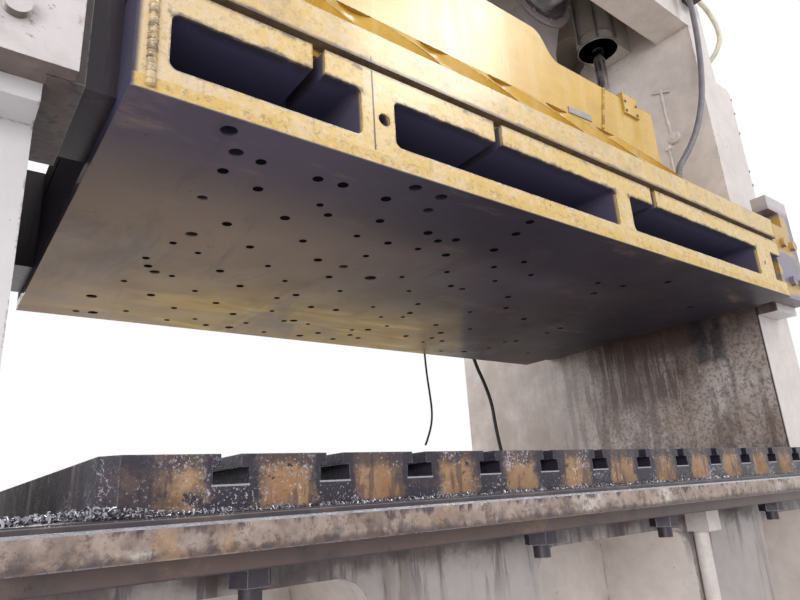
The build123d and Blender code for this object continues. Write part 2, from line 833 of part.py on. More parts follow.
# Face plate under the riser, drilled by hand for many dies
# Each hole is its x, its distance behind the die line and its radius
die_holes = (
    (-915, 380, 14),
    (-910, -560, 14),
    (-880, 535, 13.5),
    (-875, -505, 12.5),
    (-865, -320, 10),
    (-825, -145, 13),
    (-825, 120, 12.5),
    (-535, -560, 13),
    (-465, -555, 12.5),
    (-465, 530, 13.5),
    (-450, -495, 11),
    (-430, -130, 12),
    (-320, -90, 16.5),
    (-310, 370, 12.5),
    (-200, 535, 13),
    (-25, -135, 11),
    (-20, 365, 12.5),
    (255, 290, 13),
    (385, -295, 12.5),
    (560, 495, 12.5),
    (640, 45, 12.5),
    (850, -355, 12.5),
)
with BuildPart() as face_plate:
    with BuildSketch(Plane.XY.offset(riser_bottom)):
        with Locations((0, die_line_y)):
            Rectangle(slide_width, slide_depth)
        for x, y, radius in die_holes:
            with Locations((x, die_line_y + y)):
                Circle(radius, mode=Mode.SUBTRACT)
    extrude(amount=face_plate_thickness)
save(face_plate, "face_plate")

# Bolts that hold the riser up to the slide, with their nuts in the scallops
with BuildPart() as riser_bolts:
    with BuildSketch(Plane.XY.offset(riser_top - riser_bolt_engagement)):
        with Locations(riser_bolt_places):
            Circle(riser_bolt_radius)
    extrude(
        amount=riser_bolt_engagement
        + slide_pad_height
        + flange_thickness
        + riser_nut_height
        + riser_bolt_tail
    )
    with BuildSketch(Plane.XY.offset(flange_top)):
        with Locations(riser_bolt_places):
            RegularPolygon(hex_radius(riser_nut_flats), 6)
    extrude(amount=riser_nut_height)
save(riser_bolts, "riser_bolts")

# Wear bars on the sides of the slide and liners on the uprights
wear_bar_top = flange_top
wear_bar_x = half_slide + wear_bar_thickness / 2
liner_x = liner_inner + liner_thickness / 2
liner_bottom = gib_block_bottom
liner_top = flange_top + liner_above
wear_bar_centre = -frame_half_depth + wear_bar_inset
rear_wear_bar_centre = 2 * die_line_y - wear_bar_centre

for side, side_name in ((-1, "left"), (1, "right")):
    with BuildPart() as wear_bars:
        with BuildSketch(Plane.XY.offset(wear_bar_top - wear_bar_height)):
            with Locations(
                (side * wear_bar_x, wear_bar_centre), (side * wear_bar_x, rear_wear_bar_centre)
            ):
                Rectangle(wear_bar_thickness, wear_bar_length)
        extrude(amount=wear_bar_height)
    save(wear_bars, f"wear_bars_{side_name}")

    with BuildPart() as gib_liners:
        with BuildSketch(Plane.XY.offset(liner_bottom)):
            with Locations((side * liner_x, wear_bar_centre), (side * liner_x, rear_wear_bar_centre)):
                Rectangle(liner_thickness, wear_bar_length + 2 * liner_overlap)
        extrude(amount=liner_top - liner_bottom)
    save(gib_liners, f"gib_liners_{side_name}")

# Gib blocks on the front of the uprights, with an arm across their tops
gib_front = -frame_half_depth - gib_block_reach
gib_block_depth = gib_block_reach - gib_seat_depth

for side, side_name in ((-1, "left"), (1, "right")):
    with BuildPart() as gib_block:
        with BuildSketch(Plane.XY.offset(gib_block_bottom)):
            with Locations(
                (
                    side * (half_throat + gib_block_width / 2),
                    gib_front + gib_block_depth / 2,
                )
            ):
                Rectangle(gib_block_width, gib_block_depth)
            with Locations(
                (side * (half_throat - gib_lip / 2), gib_front + gib_lip_thickness / 2)
            ):
                Rectangle(gib_lip, gib_lip_thickness)
        extrude(amount=gib_block_height)
        with BuildSketch(Plane.XY.offset(gib_block_top)):
            with Locations(
                (
                    side * (half_throat + gib_block_width * 0.75),
                    gib_front + gib_block_depth / 2,
                )
            ):
                Rectangle(gib_block_width / 2, gib_block_depth)
        extrude(amount=gib_arm_gap)
        with BuildSketch(Plane.XY.offset(gib_block_top + gib_arm_gap)):
            with Locations(
                (
                    side * (half_throat + gib_block_width / 2),
                    gib_front + gib_block_depth / 2,
                )
            ):
                Rectangle(gib_block_width, gib_block_depth)
        extrude(amount=gib_arm_height)
        with BuildSketch(front_plane(gib_front)):
            with Locations(
                (
                    side * (half_throat + gib_block_width / 2),
                    gib_block_bottom + gib_block_height / 2,
                )
            ):
                with GridLocations(
                    gib_block_width - 2 * gib_screw_margin_x,
                    gib_block_height - 2 * gib_screw_margin_z,
                    2,
                    2,
                ):
                    Circle(gib_screw_radius)
        extrude(amount=gib_screw_head)
    save(gib_block, f"gib_block_{side_name}")

# Counterbalance cylinders in the crown and their rods, which stand on the slide
balance_bottom = crown_bottom + balance_above_crown_bottom
balance_top = balance_bottom + balance_height
piston_top = balance_top - balance_gland - 20
balance_x = half_slide - balance_inset
balance_y = die_line_y - balance_before_die_line

for side, side_name in ((-1, "left"), (1, "right")):
    balance_place = (side * balance_x, balance_y)
    with BuildPart() as balance_cylinder:
        with BuildSketch(Plane.XY.offset(balance_bottom)):
            with Locations(balance_place):
                Circle(balance_radius)
            with Locations((side * (balance_x + half_throat) / 2, balance_y)):
                Rectangle(half_throat - balance_x, balance_foot_width)
        extrude(amount=balance_height)
        with BuildSketch(Plane.XY.offset(balance_bottom + balance_gland)):
            with Locations(balance_place):
                Circle(balance_bore_radius)
        extrude(amount=balance_height - 2 * balance_gland, mode=Mode.SUBTRACT)
        with BuildSketch(Plane.XY.offset(balance_bottom)):
            with Locations(balance_place):
                Circle(balance_rod_radius + running_clearance)
        extrude(amount=balance_gland, mode=Mode.SUBTRACT)
    save(balance_cylinder, f"balance_cylinder_{side_name}")

    with BuildPart() as balance_rod:
        with BuildSketch(Plane.XY.offset(flange_top)):
            with Locations(balance_place):
                Circle(balance_boss_radius)
        extrude(amount=balance_boss_height)
        with BuildSketch(Plane.XY.offset(flange_top)):
            with Locations(balance_place):
                Circle(balance_rod_radius)
        extrude(amount=piston_top - flange_top)
        with BuildSketch(Plane.XY.offset(flange_top + balance_boss_height)):
            with Locations(balance_place):
                RegularPolygon(hex_radius(balance_nut_flats), 6)
        extrude(amount=balance_nut_height)
        with BuildSketch(Plane.XY.offset(piston_top)):
            with Locations(balance_place):
                Circle(balance_bore_radius - balance_piston_clearance)
        extrude(amount=-balance_piston_height)
    save(balance_rod, f"balance_rod_{side_name}")

# Small cover plate hooked over the top edge of the slide
hatch_width = 92
hatch_height = 85
hatch_thickness = 8
hatch_x = slide_body_half_width - 155.2
hatch_rise = 20
hatch_lap = 25
with BuildPart() as slide_hatch:
    with BuildSketch(front_plane(body_front)):
        with Locations((hatch_x, shoulder_z + hatch_rise - hatch_height / 2)):
            Rectangle(hatch_width, hatch_height)
    extrude(amount=hatch_thickness)
    with BuildSketch(front_plane(body_front)):
        with Locations((hatch_x, shoulder_z + hatch_rise / 2)):
            Rectangle(hatch_width, hatch_rise)
    extrude(amount=-hatch_lap)
save(slide_hatch, "slide_hatch")

# Flywheel with its clutch, on the drive shaft at the back of the crown
flywheel_z = crown_bottom + flywheel_above_crown_bottom
flywheel_front = frame_half_depth + flywheel_gap
flywheel_back = flywheel_front + flywheel_width
web_front = flywheel_front + (flywheel_width - flywheel_web) / 2
drive_shaft_front = frame_half_depth - 2 * rear_journal + 2

with BuildPart() as flywheel:
    with BuildSketch(front_plane(flywheel_front)):
        with Locations((0, flywheel_z)):
            Circle(flywheel_radius)
            Circle(flywheel_radius - flywheel_rim, mode=Mode.SUBTRACT)
    extrude(amount=-flywheel_width)
    with BuildSketch(front_plane(web_front)):
        with Locations((0, flywheel_z)):
            Circle(flywheel_radius - flywheel_rim)
            with PolarLocations(flywheel_hole_circle, 6):
                Circle(flywheel_hole_radius, mode=Mode.SUBTRACT)
    extrude(amount=-flywheel_web)
    with BuildSketch(front_plane(flywheel_front)):
        with Locations((0, flywheel_z)):
            Circle(flywheel_hub_radius)
    extrude(amount=-flywheel_width)
    with BuildSketch(front_plane(flywheel_back)):
        with Locations((0, flywheel_z)):
            Circle(clutch_radius)
    extrude(amount=-clutch_thickness)
    with BuildSketch(front_plane(web_front)):
        with Locations((0, flywheel_z)):
            Circle(clutch_radius)
            Circle(flywheel_hub_radius, mode=Mode.SUBTRACT)
    extrude(amount=-(flywheel_back - web_front))
    with BuildSketch(front_plane(drive_shaft_front)):
        with Locations((0, flywheel_z)):
            Circle(drive_shaft_radius)
    extrude(amount=-(flywheel_back + clutch_thickness + drive_shaft_tail - drive_shaft_front))
save(flywheel, "flywheel")

# Motor on top of the crown, with its sheave in line with the flywheel
motor_z = crown_top + motor_above_crown
motor_back = flywheel_front - motor_end_gap
motor_front = motor_back - motor_length
motor_foot_bottom = motor_z - motor_radius - 25
sheave_front = flywheel_front + (flywheel_width - sheave_width) / 2

with BuildPart() as motor:
    with BuildSketch(front_plane(motor_front)):
        with Locations((0, motor_z)):
            Circle(motor_radius)
    extrude(amount=-motor_length)
    chamfer(motor.edges().filter_by(GeomType.CIRCLE), 18)
    with BuildSketch(front_plane(motor_front + motor_cowl)):
        with Locations((0, motor_z)):
            with PolarLocations(motor_radius, motor_fin_count):
                Rectangle(motor_fin_width, motor_fin_thickness)
    extrude(amount=-(motor_length - 2 * motor_cowl))
    with BuildSketch(front_plane(motor_front + motor_cowl - 10)):
        with Locations((0, motor_z - motor_radius + 10)):
            Rectangle(motor_foot_width * 0.7, 70)
        with Locations((0, motor_foot_bottom + motor_foot_thickness / 2)):
            Rectangle(motor_foot_width, motor_foot_thickness)
    extrude(amount=-(motor_length - 2 * motor_cowl + 20))
    with BuildSketch(front_plane(motor_front + (motor_length - motor_box_depth) / 2)):
        with Locations((motor_radius + 30, motor_z + 20)):
            Rectangle(motor_box_width, motor_box_height)
    extrude(amount=-motor_box_depth)
    with BuildSketch(front_plane(motor_back)):
        with Locations((0, motor_z)):
            Circle(motor_shaft_radius * 2)
    extrude(amount=-motor_boss)
save(motor, "motor")

with BuildPart() as motor_base:
    with BuildSketch(front_plane(motor_front + 20)):
        with Locations((0, (crown_top + motor_foot_bottom) / 2)):
            Rectangle(motor_foot_width + 60, motor_foot_bottom - crown_top)
            Rectangle(
                motor_foot_width - 80, motor_foot_bottom - crown_top - 60, mode=Mode.SUBTRACT
            )
    extrude(amount=-(motor_length - 40))
save(motor_base, "motor_base")

with BuildPart() as motor_sheave:
    with BuildSketch(front_plane(sheave_front)):
        with Locations((0, motor_z)):
            Circle(sheave_radius)
    extrude(amount=-sheave_width)
    with BuildSketch(front_plane(sheave_front + sheave_width)):
        with Locations((0, motor_z)):
            Circle(sheave_radius - 20)
            Circle(sheave_radius - 70, mode=Mode.SUBTRACT)
    extrude(amount=20, mode=Mode.SUBTRACT)
    with BuildSketch(front_plane(motor_back + motor_boss + guide_clearance)):
        with Locations((0, motor_z)):
            Circle(motor_shaft_radius)
    extrude(amount=-(sheave_front - motor_back - motor_boss - guide_clearance))
save(motor_sheave, "motor_sheave")

# Belts round the sheave and the flywheel, and the guard round both


def loop_outline(big_radius, small_radius):
    """Face of a loop round the flywheel and the sheave, at these two radii."""
    with BuildSketch() as face:
        with Locations((0, flywheel_z)):
            Circle(big_radius)
        with Locations((0, motor_z)):
            Circle(small_radius)
        make_hull()
    return face.sketch


with BuildPart() as belts:
    with BuildSketch(front_plane(sheave_front)):
        add(loop_outline(flywheel_radius + belt_thickness, sheave_radius + belt_thickness))
        add(
            loop_outline(flywheel_radius + belt_fit, sheave_radius + belt_fit),
            mode=Mode.SUBTRACT,
        )
    extrude(amount=-sheave_width)
save(belts, "belts")

guard_big = flywheel_radius + belt_thickness + guard_clearance
guard_small = sheave_radius + belt_thickness + guard_clearance
with BuildPart() as belt_guard:
    with BuildSketch(front_plane(frame_half_depth)):
        add(loop_outline(guard_big, guard_small))
        add(
            loop_outline(guard_big - guard_wall, guard_small - guard_wall),
            mode=Mode.SUBTRACT,
        )
    extrude(amount=-(guard_depth - guard_wall))
    with BuildSketch(front_plane(frame_half_depth + guard_depth - guard_wall)):
        add(loop_outline(guard_big, guard_small))
        with Locations((0, flywheel_z)):
            Circle(guard_window_radius, mode=Mode.SUBTRACT)
    extrude(amount=-guard_wall)
save(belt_guard, "belt_guard")

# Air tank on two saddles on top of the crown
tank_y = crown_front + tank_setback
tank_z = crown_top + tank_gap + tank_radius
with BuildPart() as air_tank:
    with BuildSketch(Plane.YZ.offset(-tank_length / 2)):
        with Locations((tank_y, tank_z)):
            Circle(tank_radius)
    extrude(amount=tank_length)
    fillet(air_tank.edges().filter_by(GeomType.CIRCLE), tank_end_radius)
save(air_tank, "air_tank")

with BuildPart() as tank_saddles:
    for side in (-1, 1):
        with BuildSketch(Plane.YZ.offset(side * saddle_x - saddle_width / 2)):
            with Locations((tank_y, crown_top + (tank_z - crown_top) * 0.35)):
                Rectangle(tank_radius * 1.5, (tank_z - crown_top) * 0.7)
            with Locations((tank_y, tank_z)):
                Circle(tank_radius + guide_clearance, mode=Mode.SUBTRACT)
        extrude(amount=saddle_width)
save(tank_saddles, "tank_saddles")

# Pipe that comes down the front wall of the bed, beside the middle bay
cushion_pipe_x = centre_bay_width / 2 + cushion_pipe_gap
cushion_wall = bed_wall_front - guide_clearance
with BuildPart() as cushion_pipe:
    with BuildSketch(Plane.XY.offset(bay_bottom)):
        with Locations((cushion_pipe_x, cushion_wall - cushion_pipe_radius)):
            Circle(cushion_pipe_radius)
    extrude(amount=bed_plate_bottom - bay_bottom - cushion_flange_height)
    with BuildSketch(Plane.XY.offset(bed_plate_bottom - cushion_flange_height)):
        with Locations((cushion_pipe_x, cushion_wall - 1.6 * cushion_pipe_radius)):
            Rectangle(3.4 * cushion_pipe_radius, 3.2 * cushion_pipe_radius)
    extrude(amount=cushion_flange_height)
save(cushion_pipe, "cushion_pipe")

# Grease line and its round block on the inner wall of the right upright
grease_y = -frame_half_depth + 154
grease_z = bed_height + 1386
grease_block_radius = 26
grease_line_thickness = 20
with BuildPart() as grease_line:
    with BuildSketch(Plane.YZ.offset(half_throat)):
        with Locations((grease_y, grease_z)):
            Circle(grease_block_radius)
        with Locations((grease_y + 32, grease_z - 34)):
            Circle(grease_block_radius * 0.6)
        with Locations((grease_y + 14, grease_z + 130)):
            Rectangle(14, 240)
        with Locations((grease_y + 30, grease_z - 110)):
            Rectangle(12, 150)
        with Locations((grease_y + 14, grease_z + 236)):
            Rectangle(90, 16, rotation=28)
    extrude(amount=-grease_line_thickness)
save(grease_line, "grease_line")


def tube_along(points, radius, label):
    """Tube along a route, with an arc at each inner point as large as its two runs allow."""
    runs = [Vector(*b) - Vector(*a) for a, b in zip(points, points[1:])]
    radii = []
    for before, after in zip(runs, runs[1:]):
        half_turn = radians(before.get_angle(after) / 2)
        radii.append(0.45 * min(before.length, after.length) / tan(half_turn))
    with BuildPart() as tube:
        with BuildLine() as line:
            FilletPolyline(*points, radius=radii)
        route = line.wire()
        with BuildSketch(Plane(route @ 0, z_dir=route % 0)):
            Circle(radius)
        sweep(path=route)
    straight_volume = pi * radius**2 * route.length
    print(label, "length", round(route.length), "radii", [round(r) for r in radii])
    print(label, "volume over section times length", round(tube.part.volume / straight_volume, 4))
    save(tube, label)


def hung(points, start, end):
    """Route moved so that it runs from start to end, each point by its share of the drop."""
    start_shift = Vector(*start) - Vector(*points[0])
    end_shift = Vector(*end) - Vector(*points[-1])
    drop = points[0][2] - points[-1][2]
    moved = []
    for point in points:
        share = (points[0][2] - point[2]) / drop
        moved.append(tuple(Vector(*point) + start_shift * (1 - share) + end_shift * share))
    return moved


# Air hose that hangs from the crown to the flange of the slide
slide_hose_drawn = (
    (1116, -836, 2976),
    (1116, -836, 2836),
    (1095, -836, 2684),
    (1050, -839, 2530),
    (985, -843, 2380),
    (900, -846, 2245),
    (815, -846, 2137),
    (745, -843, 2062),
    (672, -837, 1985),
    (672, -837, 1885),
)
slide_hose_route = hung(
    slide_hose_drawn,
    (half_throat - 46.5, crown_front - 49, crown_bottom + 116),
    (672, crown_front - 50, flange_top + short_fitting_height),
)
tube_along(slide_hose_route, slide_hose_radius, "slide_hose")

# Cut cable that hangs from the underside of the crown behind the slide
rear_cable_drawn = (
    (470, 300, 2824),
    (470, 300, 2704),
    (473, 301, 2578),
    (479, 302, 2452),
    (484, 304, 2325),
    (486, 304, 2200),
    (485, 303, 2075),
    (481, 302, 1950),
    (475, 301, 1830),
    (469, 300, 1715),
    (466, 300, 1600),
    (470, 300, 1500),
    (480, 300, 1410),
    (486, 300, 1330),
    (470, 300, 1258),
    (437, 301, 1198),
)
rear_cable_route = hung(
    rear_cable_drawn,
    (470, die_line_y + 645, crown_bottom - fitting_height),
    (437, die_line_y + 646, bed_height + 197),
)
tube_along(rear_cable_route, rear_cable_radius, "rear_cable")

# Hose that comes down behind the slide to the bed
rear_hose_drawn = (
    (836, 420, 2824),
    (836, 420, 2644),
    (833, 421, 2450),
    (832, 422, 2260),
    (834, 422, 2070),
    (840, 422, 1890),
    (852, 421, 1730),
    (884, 420, 1600),
    (938, 420, 1500),
    (972, 420, 1405),
    (981, 420, 1300),
    (997, 420, 1205),
    (1016, 420, 1115),
    (1016, 420, 1037),
)
rear_hose_route = hung(
    rear_hose_drawn,
    (836, die_line_y + 765, crown_bottom - fitting_height),
    (half_throat - 146.5, die_line_y + 765, bed_height + fitting_height),
)
tube_along(rear_hose_route, rear_hose_radius, "rear_hose")

# Conduit that bows out from the front of the crown and back to the right upright
conduit_drawn = (
    (1222, -817, 3010),
    (1286, -817, 3010),
    (1345, -819, 2980),
    (1379, -822, 2924),
    (1380, -820, 2859),
    (1378, -788, 2804),
    (1377, -733, 2770),
    (1377, -664, 2770),
)
conduit_route = hung(
    conduit_drawn,
    (half_throat + 59.5, crown_front - conduit_box / 2, crown_bottom + 150),
    (half_throat + 214.5, -column_half_depth - short_fitting_height, crown_bottom - 90),
)
tube_along(conduit_route, conduit_radius, "conduit")

# Fittings on the frame that the hoses, the cable and the conduit come out of
with BuildPart() as hose_fittings:
    for end in (rear_cable_route[0], rear_hose_route[0]):
        with BuildSketch(Plane.XY.offset(end[2])):
            with Locations(end[:2]):
                RegularPolygon(fitting_radius, 6)
        extrude(amount=crown_bottom - end[2])
    with BuildSketch(Plane.XY.offset(bed_height)):
        with Locations(rear_hose_route[-1][:2]):
            RegularPolygon(fitting_radius, 6)
    extrude(amount=rear_hose_route[-1][2] - bed_height)
    with BuildSketch(Plane.XY.offset(slide_hose_route[0][2])):
        with Locations(slide_hose_route[0][:2]):
            RegularPolygon(fitting_radius, 6)
    extrude(amount=fitting_height)
    with BuildSketch(Plane.XY.offset(slide_hose_route[0][2] + fitting_height)):
        with Locations((slide_hose_route[0][0], slide_hose_route[0][1])):
            Rectangle(2 * fitting_radius, 2 * (crown_front - slide_hose_route[0][1]))
    extrude(amount=fitting_height)
    with BuildSketch(Plane.YZ.offset(conduit_route[0][0] - conduit_box)):
        with Locations((crown_front - conduit_box / 2, conduit_route[0][2])):
            Rectangle(conduit_box, conduit_box)
    extrude(amount=conduit_box)
    with BuildSketch(front_plane(conduit_route[-1][1])):
        with Locations((conduit_route[-1][0], conduit_route[-1][2])):
            RegularPolygon(fitting_radius, 6)
    extrude(amount=-(-column_half_depth - conduit_route[-1][1]))
save(hose_fittings, "hose_fittings")

with BuildPart() as slide_hose_fitting:
    with BuildSketch(Plane.XY.offset(flange_top)):
        with Locations(slide_hose_route[-1][:2]):
            RegularPolygon(fitting_radius, 6)
    extrude(amount=slide_hose_route[-1][2] - flange_top)
save(slide_hose_fitting, "slide_hose_fitting")
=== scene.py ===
"""Stamping press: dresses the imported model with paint, oil, rust, welds, hoses and fasteners.

Lengths are in metres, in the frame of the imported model. The front of the press faces -Y.
"""

import functools
import json
import math
import random

import bmesh
import bpy
from bpy.props import FloatProperty, FloatVectorProperty, IntProperty, PointerProperty
from mathutils import Matrix, Vector


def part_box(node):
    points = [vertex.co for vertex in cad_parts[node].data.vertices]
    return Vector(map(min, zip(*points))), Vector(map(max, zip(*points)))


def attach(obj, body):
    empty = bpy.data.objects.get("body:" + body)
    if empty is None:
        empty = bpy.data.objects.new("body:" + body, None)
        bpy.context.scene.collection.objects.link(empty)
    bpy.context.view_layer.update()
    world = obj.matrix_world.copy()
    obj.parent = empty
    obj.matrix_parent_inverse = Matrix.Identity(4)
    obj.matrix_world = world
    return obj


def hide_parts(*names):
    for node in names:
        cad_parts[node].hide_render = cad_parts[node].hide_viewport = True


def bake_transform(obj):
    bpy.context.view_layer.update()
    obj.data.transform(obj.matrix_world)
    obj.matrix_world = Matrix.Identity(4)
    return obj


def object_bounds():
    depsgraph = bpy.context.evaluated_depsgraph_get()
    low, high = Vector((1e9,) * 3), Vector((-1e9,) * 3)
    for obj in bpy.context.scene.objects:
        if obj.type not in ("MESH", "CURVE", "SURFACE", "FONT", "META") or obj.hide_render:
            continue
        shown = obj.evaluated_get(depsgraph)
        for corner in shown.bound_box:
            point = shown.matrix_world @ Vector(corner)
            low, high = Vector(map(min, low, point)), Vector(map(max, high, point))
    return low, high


bl_info = {
    "name": "Stamping press",
    "version": (1, 0, 0),
    "blender": (4, 5, 0),
    "location": "View3D > Sidebar > Press",
    "description": "Paint, oil, welds, hoses and fasteners of a stamping press",
    "category": "Object",
}

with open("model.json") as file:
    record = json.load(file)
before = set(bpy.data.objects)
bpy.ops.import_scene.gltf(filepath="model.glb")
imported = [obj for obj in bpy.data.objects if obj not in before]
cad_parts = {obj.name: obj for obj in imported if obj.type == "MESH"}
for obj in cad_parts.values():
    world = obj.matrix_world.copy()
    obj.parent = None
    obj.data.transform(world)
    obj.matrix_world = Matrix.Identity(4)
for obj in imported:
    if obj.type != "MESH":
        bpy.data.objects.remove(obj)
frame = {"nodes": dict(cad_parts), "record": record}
cad_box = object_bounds()
cad = frame["nodes"]

PHOTO_WIDTH = 800
PHOTO_HEIGHT = 600
FOCAL_PIXELS = 619.6
CAMERA_PLACE = Vector((-1.232, -1.729, 1.010))
CAMERA_RIGHT = Vector((0.7985, -0.5990, -0.0594))
CAMERA_UP = Vector((-0.1343, -0.2734, 0.9525))
CAMERA_BACK = Vector((-0.5868, -0.7526, -0.2988))

RIGHT = Vector((1, 0, 0))
BACK = Vector((0, 1, 0))
UP = Vector((0, 0, 1))

# Places on the press

WALL = 1.1625
OUTER = 1.6125
FLANGE = 0.787
BED_TOP = 1.001
CROWN_BOTTOM = 2.860
CROWN_TOP = 3.960
SLIDE_FRONT = -0.93
BODY_FRONT = -0.700
RISER_BOTTOM = 1.597
FLANGE_TOP = 1.861
CRANK_X = 0.605
FLYWHEEL_Z = 3.43

# Sizes and colours


def tone(red, green, blue):
    """Linear colour of a tone that is given as a screen shows it, from 0 to 255."""
    parts = []
    for part in (red, green, blue):
        share = part / 255
        parts.append(share / 12.92 if share <= 0.04045 else ((share + 0.055) / 1.055) ** 2.4)
    return (*parts, 1.0)


def paint(name, description, *levels):
    return FloatVectorProperty(
        name=name, description=description, subtype="COLOR", size=4, min=0.0, max=1.0, default=tone(*levels)
    )


def length(name, description, metres):
    return FloatProperty(name=name, description=description, default=metres, min=0.0, unit="LENGTH")


def number(name, description, count, least, most):
    return IntProperty(name=name, description=description, default=count, min=least, max=most)


class PressSizes(bpy.types.PropertyGroup):
    """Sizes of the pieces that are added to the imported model."""

    weld_radius: length("Weld radius", "Radius of the weld beads", 0.0055)
    weld_pitch: length("Weld pitch", "Distance from one ripple of a weld to the next", 0.0055)
    hole_radius: length("Small hole radius", "Radius of the small holes in the face plate", 0.0088)
    slide_hose_diameter: length("Slide hose", "Diameter of the slide's air hose", 0.022)
    rear_cable_diameter: length("Rear cable", "Diameter of the cut cable", 0.009)
    rear_hose_diameter: length("Rear hose", "Diameter of the hose behind the slide", 0.017)
    cover_screw_radius: length("Cover screw", "Radius of the screws in the covers", 0.011)
    mesh_pitch: length("Screen pitch", "Distance between the wires of the guard's screen", 0.022)
    slot_pitch: length("Slot pitch", "Distance between the T-slots of the bolster", 0.1524)
    chip_count: number("Chips", "Cutting chips strewn round the bolster's corner", 1500, 0, 4000)
    grille_rings: number("Grille rings", "Rings in the motor's fan grille", 6, 2, 12)


class PressColours(bpy.types.PropertyGroup):
    """Colours of the paints, metals and dirt, and of painted shade and painted reflection."""

    cream: paint("Cream paint", "Paint of the frame", 214, 206, 200)
    cream_light: paint("Light paint", "Cleaner, greyer paint of the uprights", 205, 205, 208)
    cream_dull: paint("Dull paint", "Paint dulled by old oil", 162, 146, 134)
    yellow: paint("Yellow paint", "Paint of the slide", 200, 160, 56)
    yellow_pale: paint("Pale yellow", "Worn and dusty yellow paint", 208, 178, 108)
    rust_orange: paint("Rust", "Rust on the bolster", 142, 104, 70)
    rust_tan: paint("Tan rust", "Light rust on the bolster", 158, 128, 96)
    grease_brown: paint("Brown grease", "Old grease and soaked dirt", 92, 74, 68)
    oil_black: paint("Black oil", "Thick dark oil", 46, 42, 54)
    plate_purple: paint("Plate, dark", "Oily steel of the face plate", 96, 88, 102)
    # Painted reflection: golden colour that stands for the yellow and white walls mirrored in the oil at the
    # back of the face plate.
    plate_gold_reflection: paint("Plate, golden", "Oil film on the back of the face plate", 180, 144, 24)
    # Painted reflection: the brightest streaks of that mirrored wall.
    plate_reflection_streak: paint("Plate, streaks", "Brightest streaks of the golden oil film", 226, 190, 24)
    plate_brown: paint("Plate, brown", "Oil film on the left of the face plate", 200, 172, 142)
    # Painted shade: blue-black laid on the shaded faces inside the riser and on the left ends of the slide
    # and face plate.
    painted_shade_black: paint("Soot", "Blue-black film on hidden faces and inside the riser", 66, 64, 92)
    bare_steel: paint("Bare steel", "Rubbed steel", 176, 176, 184)
    dark_steel: paint("Dark steel", "Oiled black steel", 72, 67, 74)
    cast_iron: paint("Cast iron", "Machined cast iron", 104, 100, 98)
    bronze: paint("Bronze", "Wear bars", 150, 116, 62)
    grey_paint: paint("Grey paint", "Paint of the gib blocks", 204, 198, 198)
    slate_paint: paint("Slate paint", "Darker grey of the right gib block", 106, 100, 122)
    machine_blue: paint("Motor paint", "Paint of the motor", 86, 104, 116)
    guard_yellow: paint("Guard paint", "Paint of the belt guard", 226, 186, 54)
    rubber: paint("Rubber", "Belts and cable sheath", 44, 42, 44)
    hose_grey: paint("Hose", "Sheath of the hoses", 108, 104, 110)
    conduit_cream: paint("Conduit", "Flexible plastic conduit", 206, 200, 178)
    dust: paint("Dust", "Dust on faces that look up", 176, 170, 158)


def sizes():
    return bpy.context.scene.press_sizes


def colours():
    return bpy.context.scene.press_colours


# Node trees

BUMP_DISTANCE = 0.001


class Field:
    """Value that changes over the surface, with the sums that masks are made of."""

    def __init__(self, net, socket):
        self.net = net
        self.socket = socket

    def __mul__(self, other):
        return self.net.math("MULTIPLY", self, other)

    def __add__(self, other):
        return self.net.math("ADD", self, other)

    def __sub__(self, other):
        return self.net.math("SUBTRACT", self, other)

    def __rsub__(self, other):
        return self.net.math("SUBTRACT", other, self)

    def __truediv__(self, other):
        return self.net.math("DIVIDE", self, other)

    def __abs__(self):
        return self.net.math("ABSOLUTE", self)

    def __or__(self, other):
        """Either mask: their sum, cut off at 1."""
        return self.net.math("ADD", self, other, clamp=True)

    def __invert__(self):
        return self.net.math("SUBTRACT", 1.0, self, clamp=True)

    def most(self, other):
        return self.net.math("MAXIMUM", self, other)

    def step(self, low, high, start=0.0, end=1.0):
        """Smooth step from low to high, given out from start to end."""
        node = self.net.add(
            "ShaderNodeMapRange",
            {"Value": self, "From Min": low, "From Max": high, "To Min": start, "To Max": end},
            interpolation_type="SMOOTHSTEP",
        )
        return Field(self.net, node.outputs[0])


class Net:
    """Adds nodes to one tree and joins them."""

    def __init__(self, tree):
        self.tree = tree

    def add(self, kind, inputs=(), **settings):
        node = self.tree.nodes.new(kind)
        for name, value in settings.items():
            setattr(node, name, value)
        for name, value in dict(inputs).items():
            self.feed(node.inputs[name], value)
        return node

    def feed(self, socket, value):
        if isinstance(value, Field):
            value = value.socket
        if isinstance(value, bpy.types.NodeSocket):
            self.tree.links.new(value, socket)
        else:
            socket.default_value = value

    def math(self, operation, first, second=0.0, clamp=False):
        node = self.add("ShaderNodeMath", {0: first, 1: second}, operation=operation, use_clamp=clamp)
        return Field(self, node.outputs[0])

    def vector(self, operation, first, second=(0.0, 0.0, 0.0)):
        return self.add("ShaderNodeVectorMath", {0: first, 1: second}, operation=operation).outputs[0]

    def mix(self, factor, first, second, blend="MIX"):
        inputs = {0: factor, 6: first, 7: second}
        return self.add("ShaderNodeMix", inputs, data_type="RGBA", blend_type=blend).outputs[2]

    def place(self):
        """Place on the object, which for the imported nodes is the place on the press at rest."""
        return self.add("ShaderNodeTexCoord").outputs["Object"]

    def split(self, vector):
        node = self.add("ShaderNodeSeparateXYZ", {0: vector})
        return [Field(self, output) for output in node.outputs]

    def upward(self):
        """How far the surface looks up, from -1 to 1."""
        return self.split(self.add("ShaderNodeTexCoord").outputs["Normal"])[2]

    def noise(self, scale, detail=4.0, roughness=0.55, distortion=0.0, stretch=None, at=None):
        if at is None:
            at = self.place()
        if stretch:
            at = self.vector("MULTIPLY", at, stretch)
        inputs = {"Vector": at, "Scale": scale, "Detail": detail, "Roughness": roughness,
                  "Distortion": distortion}
        return Field(self, self.add("ShaderNodeTexNoise", inputs).outputs[0])


